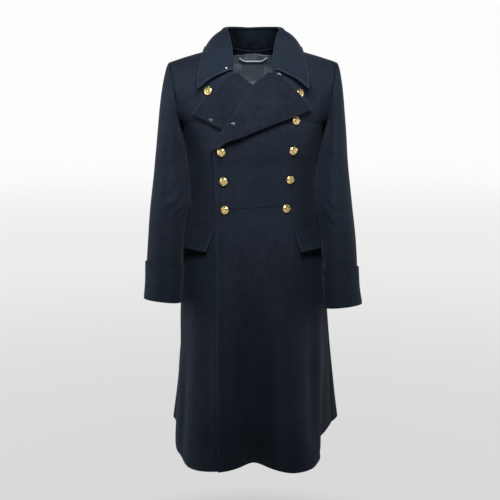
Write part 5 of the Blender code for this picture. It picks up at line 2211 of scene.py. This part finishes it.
PANELS = (
    (
        "front_over",
        Half.FRONT,
        Hand.LEFT,
        0.4,
        rows_of_creases(
            (-0.02, 0.7, 0.075, 0.703, 0.011, -0.0016),
            (0.03, 0.655, 0.062, 0.632, 0.012, 0.0016),
            (0.118, 0.6, 0.138, 0.52, 0.016, -0.0044, 0.006),
            (0.014, 0.64, 0.004, 0.0, 0.038, -0.016, 0.006),
            (-0.03, 0.4, -0.04, 0.04, 0.011, -0.0046),
            (0.02, 0.44, 0.05, 0.44, 0.006, -0.0012),
            (-0.01, 0.3, 0.03, 0.31, 0.007, 0.0012),
            (0.181, 0.42, 0.19, 0.03, 0.01, 0.0056),
            (0.1, 0.42, 0.112, 0.02, 0.03, 0.005),
            (0.158, 0.4, 0.164, 0.02, 0.012, -0.0036),
            (0.135, 0.76, 0.16, 0.7, 0.014, -0.0014),
            (0.08, 0.9, 0.14, 0.94, 0.018, -0.0012),
        ),
        (((-0.066, 0.719), (0.079, 0.7265)),),
    ),
    (
        "front_under",
        Half.FRONT,
        Hand.RIGHT,
        2.3,
        rows_of_creases(
            (-0.15, 0.56, -0.178, 0.06, 0.018, 0.0056, 0.004),
            (-0.12, 0.44, -0.125, 0.02, 0.02, -0.0056),
            (-0.205, 0.28, -0.212, 0.02, 0.01, 0.0044),
            (-0.193, 0.38, -0.197, 0.02, 0.009, -0.003),
            (-0.15, 0.78, -0.17, 0.72, 0.014, -0.0014),
        ),
        (((-0.165, 0.683), (-0.108, 0.6735)),),
    ),
    (
        "back_left",
        Half.BACK,
        Hand.LEFT,
        4.1,
        rows_of_creases(
            (0.06, 0.7, 0.12, 0.712, 0.014, -0.0016),
            (0.07, 0.6, 0.084, 0.02, 0.024, 0.0064),
            (0.03, 0.46, 0.035, 0.02, 0.018, -0.005),
            (0.145, 0.5, 0.16, 0.02, 0.02, -0.0056),
            (0.1, 0.94, 0.15, 0.88, 0.016, -0.0018),
        ),
    ),
    (
        "back_right",
        Half.BACK,
        Hand.RIGHT,
        5.9,
        rows_of_creases(
            (-0.05, 0.69, -0.13, 0.708, 0.014, -0.0015),
            (-0.085, 0.56, -0.1, 0.02, 0.026, 0.0062),
            (-0.14, 0.46, -0.152, 0.02, 0.02, -0.0058),
            (-0.04, 0.38, -0.046, 0.02, 0.016, -0.004),
            (-0.105, 0.95, -0.15, 0.89, 0.016, -0.0018),
        ),
    ),
)
UNDER_LAPEL_CREASES = rows_of_creases((-0.15, 0.962, -0.092, 0.936, 0.014, 0.0044))
OVER_LAPEL_CREASES = rows_of_creases(
    (0.003, 0.985, 0.028, 0.958, 0.006, -0.0012),
    (0.07, 0.997, 0.098, 0.985, 0.005, 0.0012),
    (-0.078, 0.89, -0.02, 0.91, 0.016, 0.003),
)
OVER_LAPEL_CUTS = (((0.072, 0.9955), (0.096, 0.9855)),)


@dataclass
class Greatcoat:
    """The coat: its panels, lapels, collar, sleeves, cuffs and flaps."""

    wool: Material
    shaded_stand_wool: Material
    shaded_lapel_wool: Material
    sewing: StitchRow
    form: BodyForm = field(default_factory=BodyForm)
    lap: Lap = field(default_factory=Lap)
    left_drop: float = 0.015

    def build_panels(self) -> list[Panel]:
        """Make the two fronts and the two backs."""
        panels = []
        for name, half, hand, *rest in PANELS:
            panels.append(Panel(name, half, hand, self.form, self.lap, *rest))
            panels[-1].build(self.wool, self.sewing)
        return panels

    def build_lapels(self, over: Panel, under: Panel) -> list[Lapel]:
        """Make the two lapels on their fronts."""
        lapels = [
            Lapel("lapel_under", UNDER_LAPEL, under, 1.3, UNDER_LAPEL_CREASES),
            Lapel("lapel_over", OVER_LAPEL, over, 3.7, OVER_LAPEL_CREASES, OVER_LAPEL_CUTS),
        ]
        for lapel in lapels:
            lapel.build(self.shaded_lapel_wool, self.sewing)
        return lapels

    def build_collar(self, back: Panel, body: BVHTree) -> Collar:
        """Make the collar's stand and its fall over the panels."""
        collar = Collar(self.form, self.lap, back, body)
        collar.build_stand(self.shaded_stand_wool, self.sewing)
        collar.build_fall(self.wool, self.sewing)
        return collar

    def build_sleeves(self, body: BVHTree) -> None:
        """Make the sleeves and their cuffs."""
        for hand, drop in ((Hand.LEFT, self.left_drop), (Hand.RIGHT, 0.0)):
            sleeve = Sleeve(hand, self.form, drop, ARM_CREASES[hand], 8.0 + hand.value)
            sleeve.build(self.wool, self.sewing, body)
            sleeve.build_cuff(self.wool, self.sewing)

    def build_flaps(self, over: Panel, under: Panel) -> None:
        """Make the pocket flaps."""
        for hand, panel in ((Hand.LEFT, over), (Hand.RIGHT, under)):
            Flap(hand, self.form, self.lap, panel).build(self.wool, self.sewing)


def main() -> None:
    """Build the coat and its studio."""
    logging.basicConfig(level=logging.INFO, format="%(message)s")
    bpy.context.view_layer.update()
    wool = Melton().material()
    # A darker copy of the wool for the collar's stand, without sheen: its darker colour is painted
    # shade for the inside of the neck.
    shaded_stand_wool = Melton(
        "stand_wool_painted_shade",
        (0.0012, 0.0018, 0.0034),
        (0.0062, 0.009, 0.0135),
        bloom=0.0,
        gloss=0.03,
    ).material()
    # A darker copy of the wool for the lapels: painted shade that keeps them as dark as the chest,
    # though they tilt up to the light.
    shaded_lapel_wool = Melton(
        "lapel_wool_painted_shade", (0.0062, 0.0094, 0.0165), (0.0114, 0.016, 0.0266), (0.0068, 0.0148, 0.0204)
    ).material()
    gilt = Metal("gilding", (0.86, 0.66, 0.3), (0.34, 0.24, 0.09), 0.24, 0.55).material()
    steel = Metal("nickel", (0.8, 0.81, 0.83), (0.45, 0.45, 0.47), 0.22, 0.2).material()
    thread = Woven("thread", (0.006, 0.008, 0.013), (0.02, 0.026, 0.038), 4000, 0.8, 0.1)
    satin = Woven("lining_satin", (0.04, 0.06, 0.078), (0.17, 0.225, 0.27), 5200, 0.36, 0.1)
    ribbon = Woven("label_ribbon", (0.04, 0.06, 0.072), (0.06, 0.084, 0.098), 4200, 0.6, 0.1)
    tape = Woven("hanger_cord", (0.3, 0.37, 0.4), (0.48, 0.57, 0.6), 3600, 0.7, 0.2)
    sewing = StitchRow(thread.material())
    coat = Greatcoat(wool, shaded_stand_wool, shaded_lapel_wool, sewing)
    panels = coat.build_panels()
    over, under, left, _ = panels
    body = surface_tree([panel.wall.face for panel in panels])
    lapels = coat.build_lapels(over, under)
    collar = coat.build_collar(left, body)
    coat.build_sleeves(body)
    coat.build_flaps(over, under)
    buttons = Buttons(gilt)
    rope = buttons.rope()
    for places, panel in ((UNDER_BUTTONS, under), (OVER_BUTTONS, over)):
        tree = surface_tree([panel.wall.face])
        for place in places:
            buttons.build(place, tree, rope)
    neck = NeckInside(coat.form)
    neck.build_lining(satin.material(), sewing)
    neck.build_label(ribbon.material(), sewing)
    neck.build_loop(tape.material())
    top = surface_tree([piece.wall.face for piece in (*lapels, collar)])
    wires = HookAndEye(steel)
    for fastening in FASTENINGS:
        wires.build(fastening, top)
    Studio().build(Ground().material())


if __name__ == "__main__":
    main()
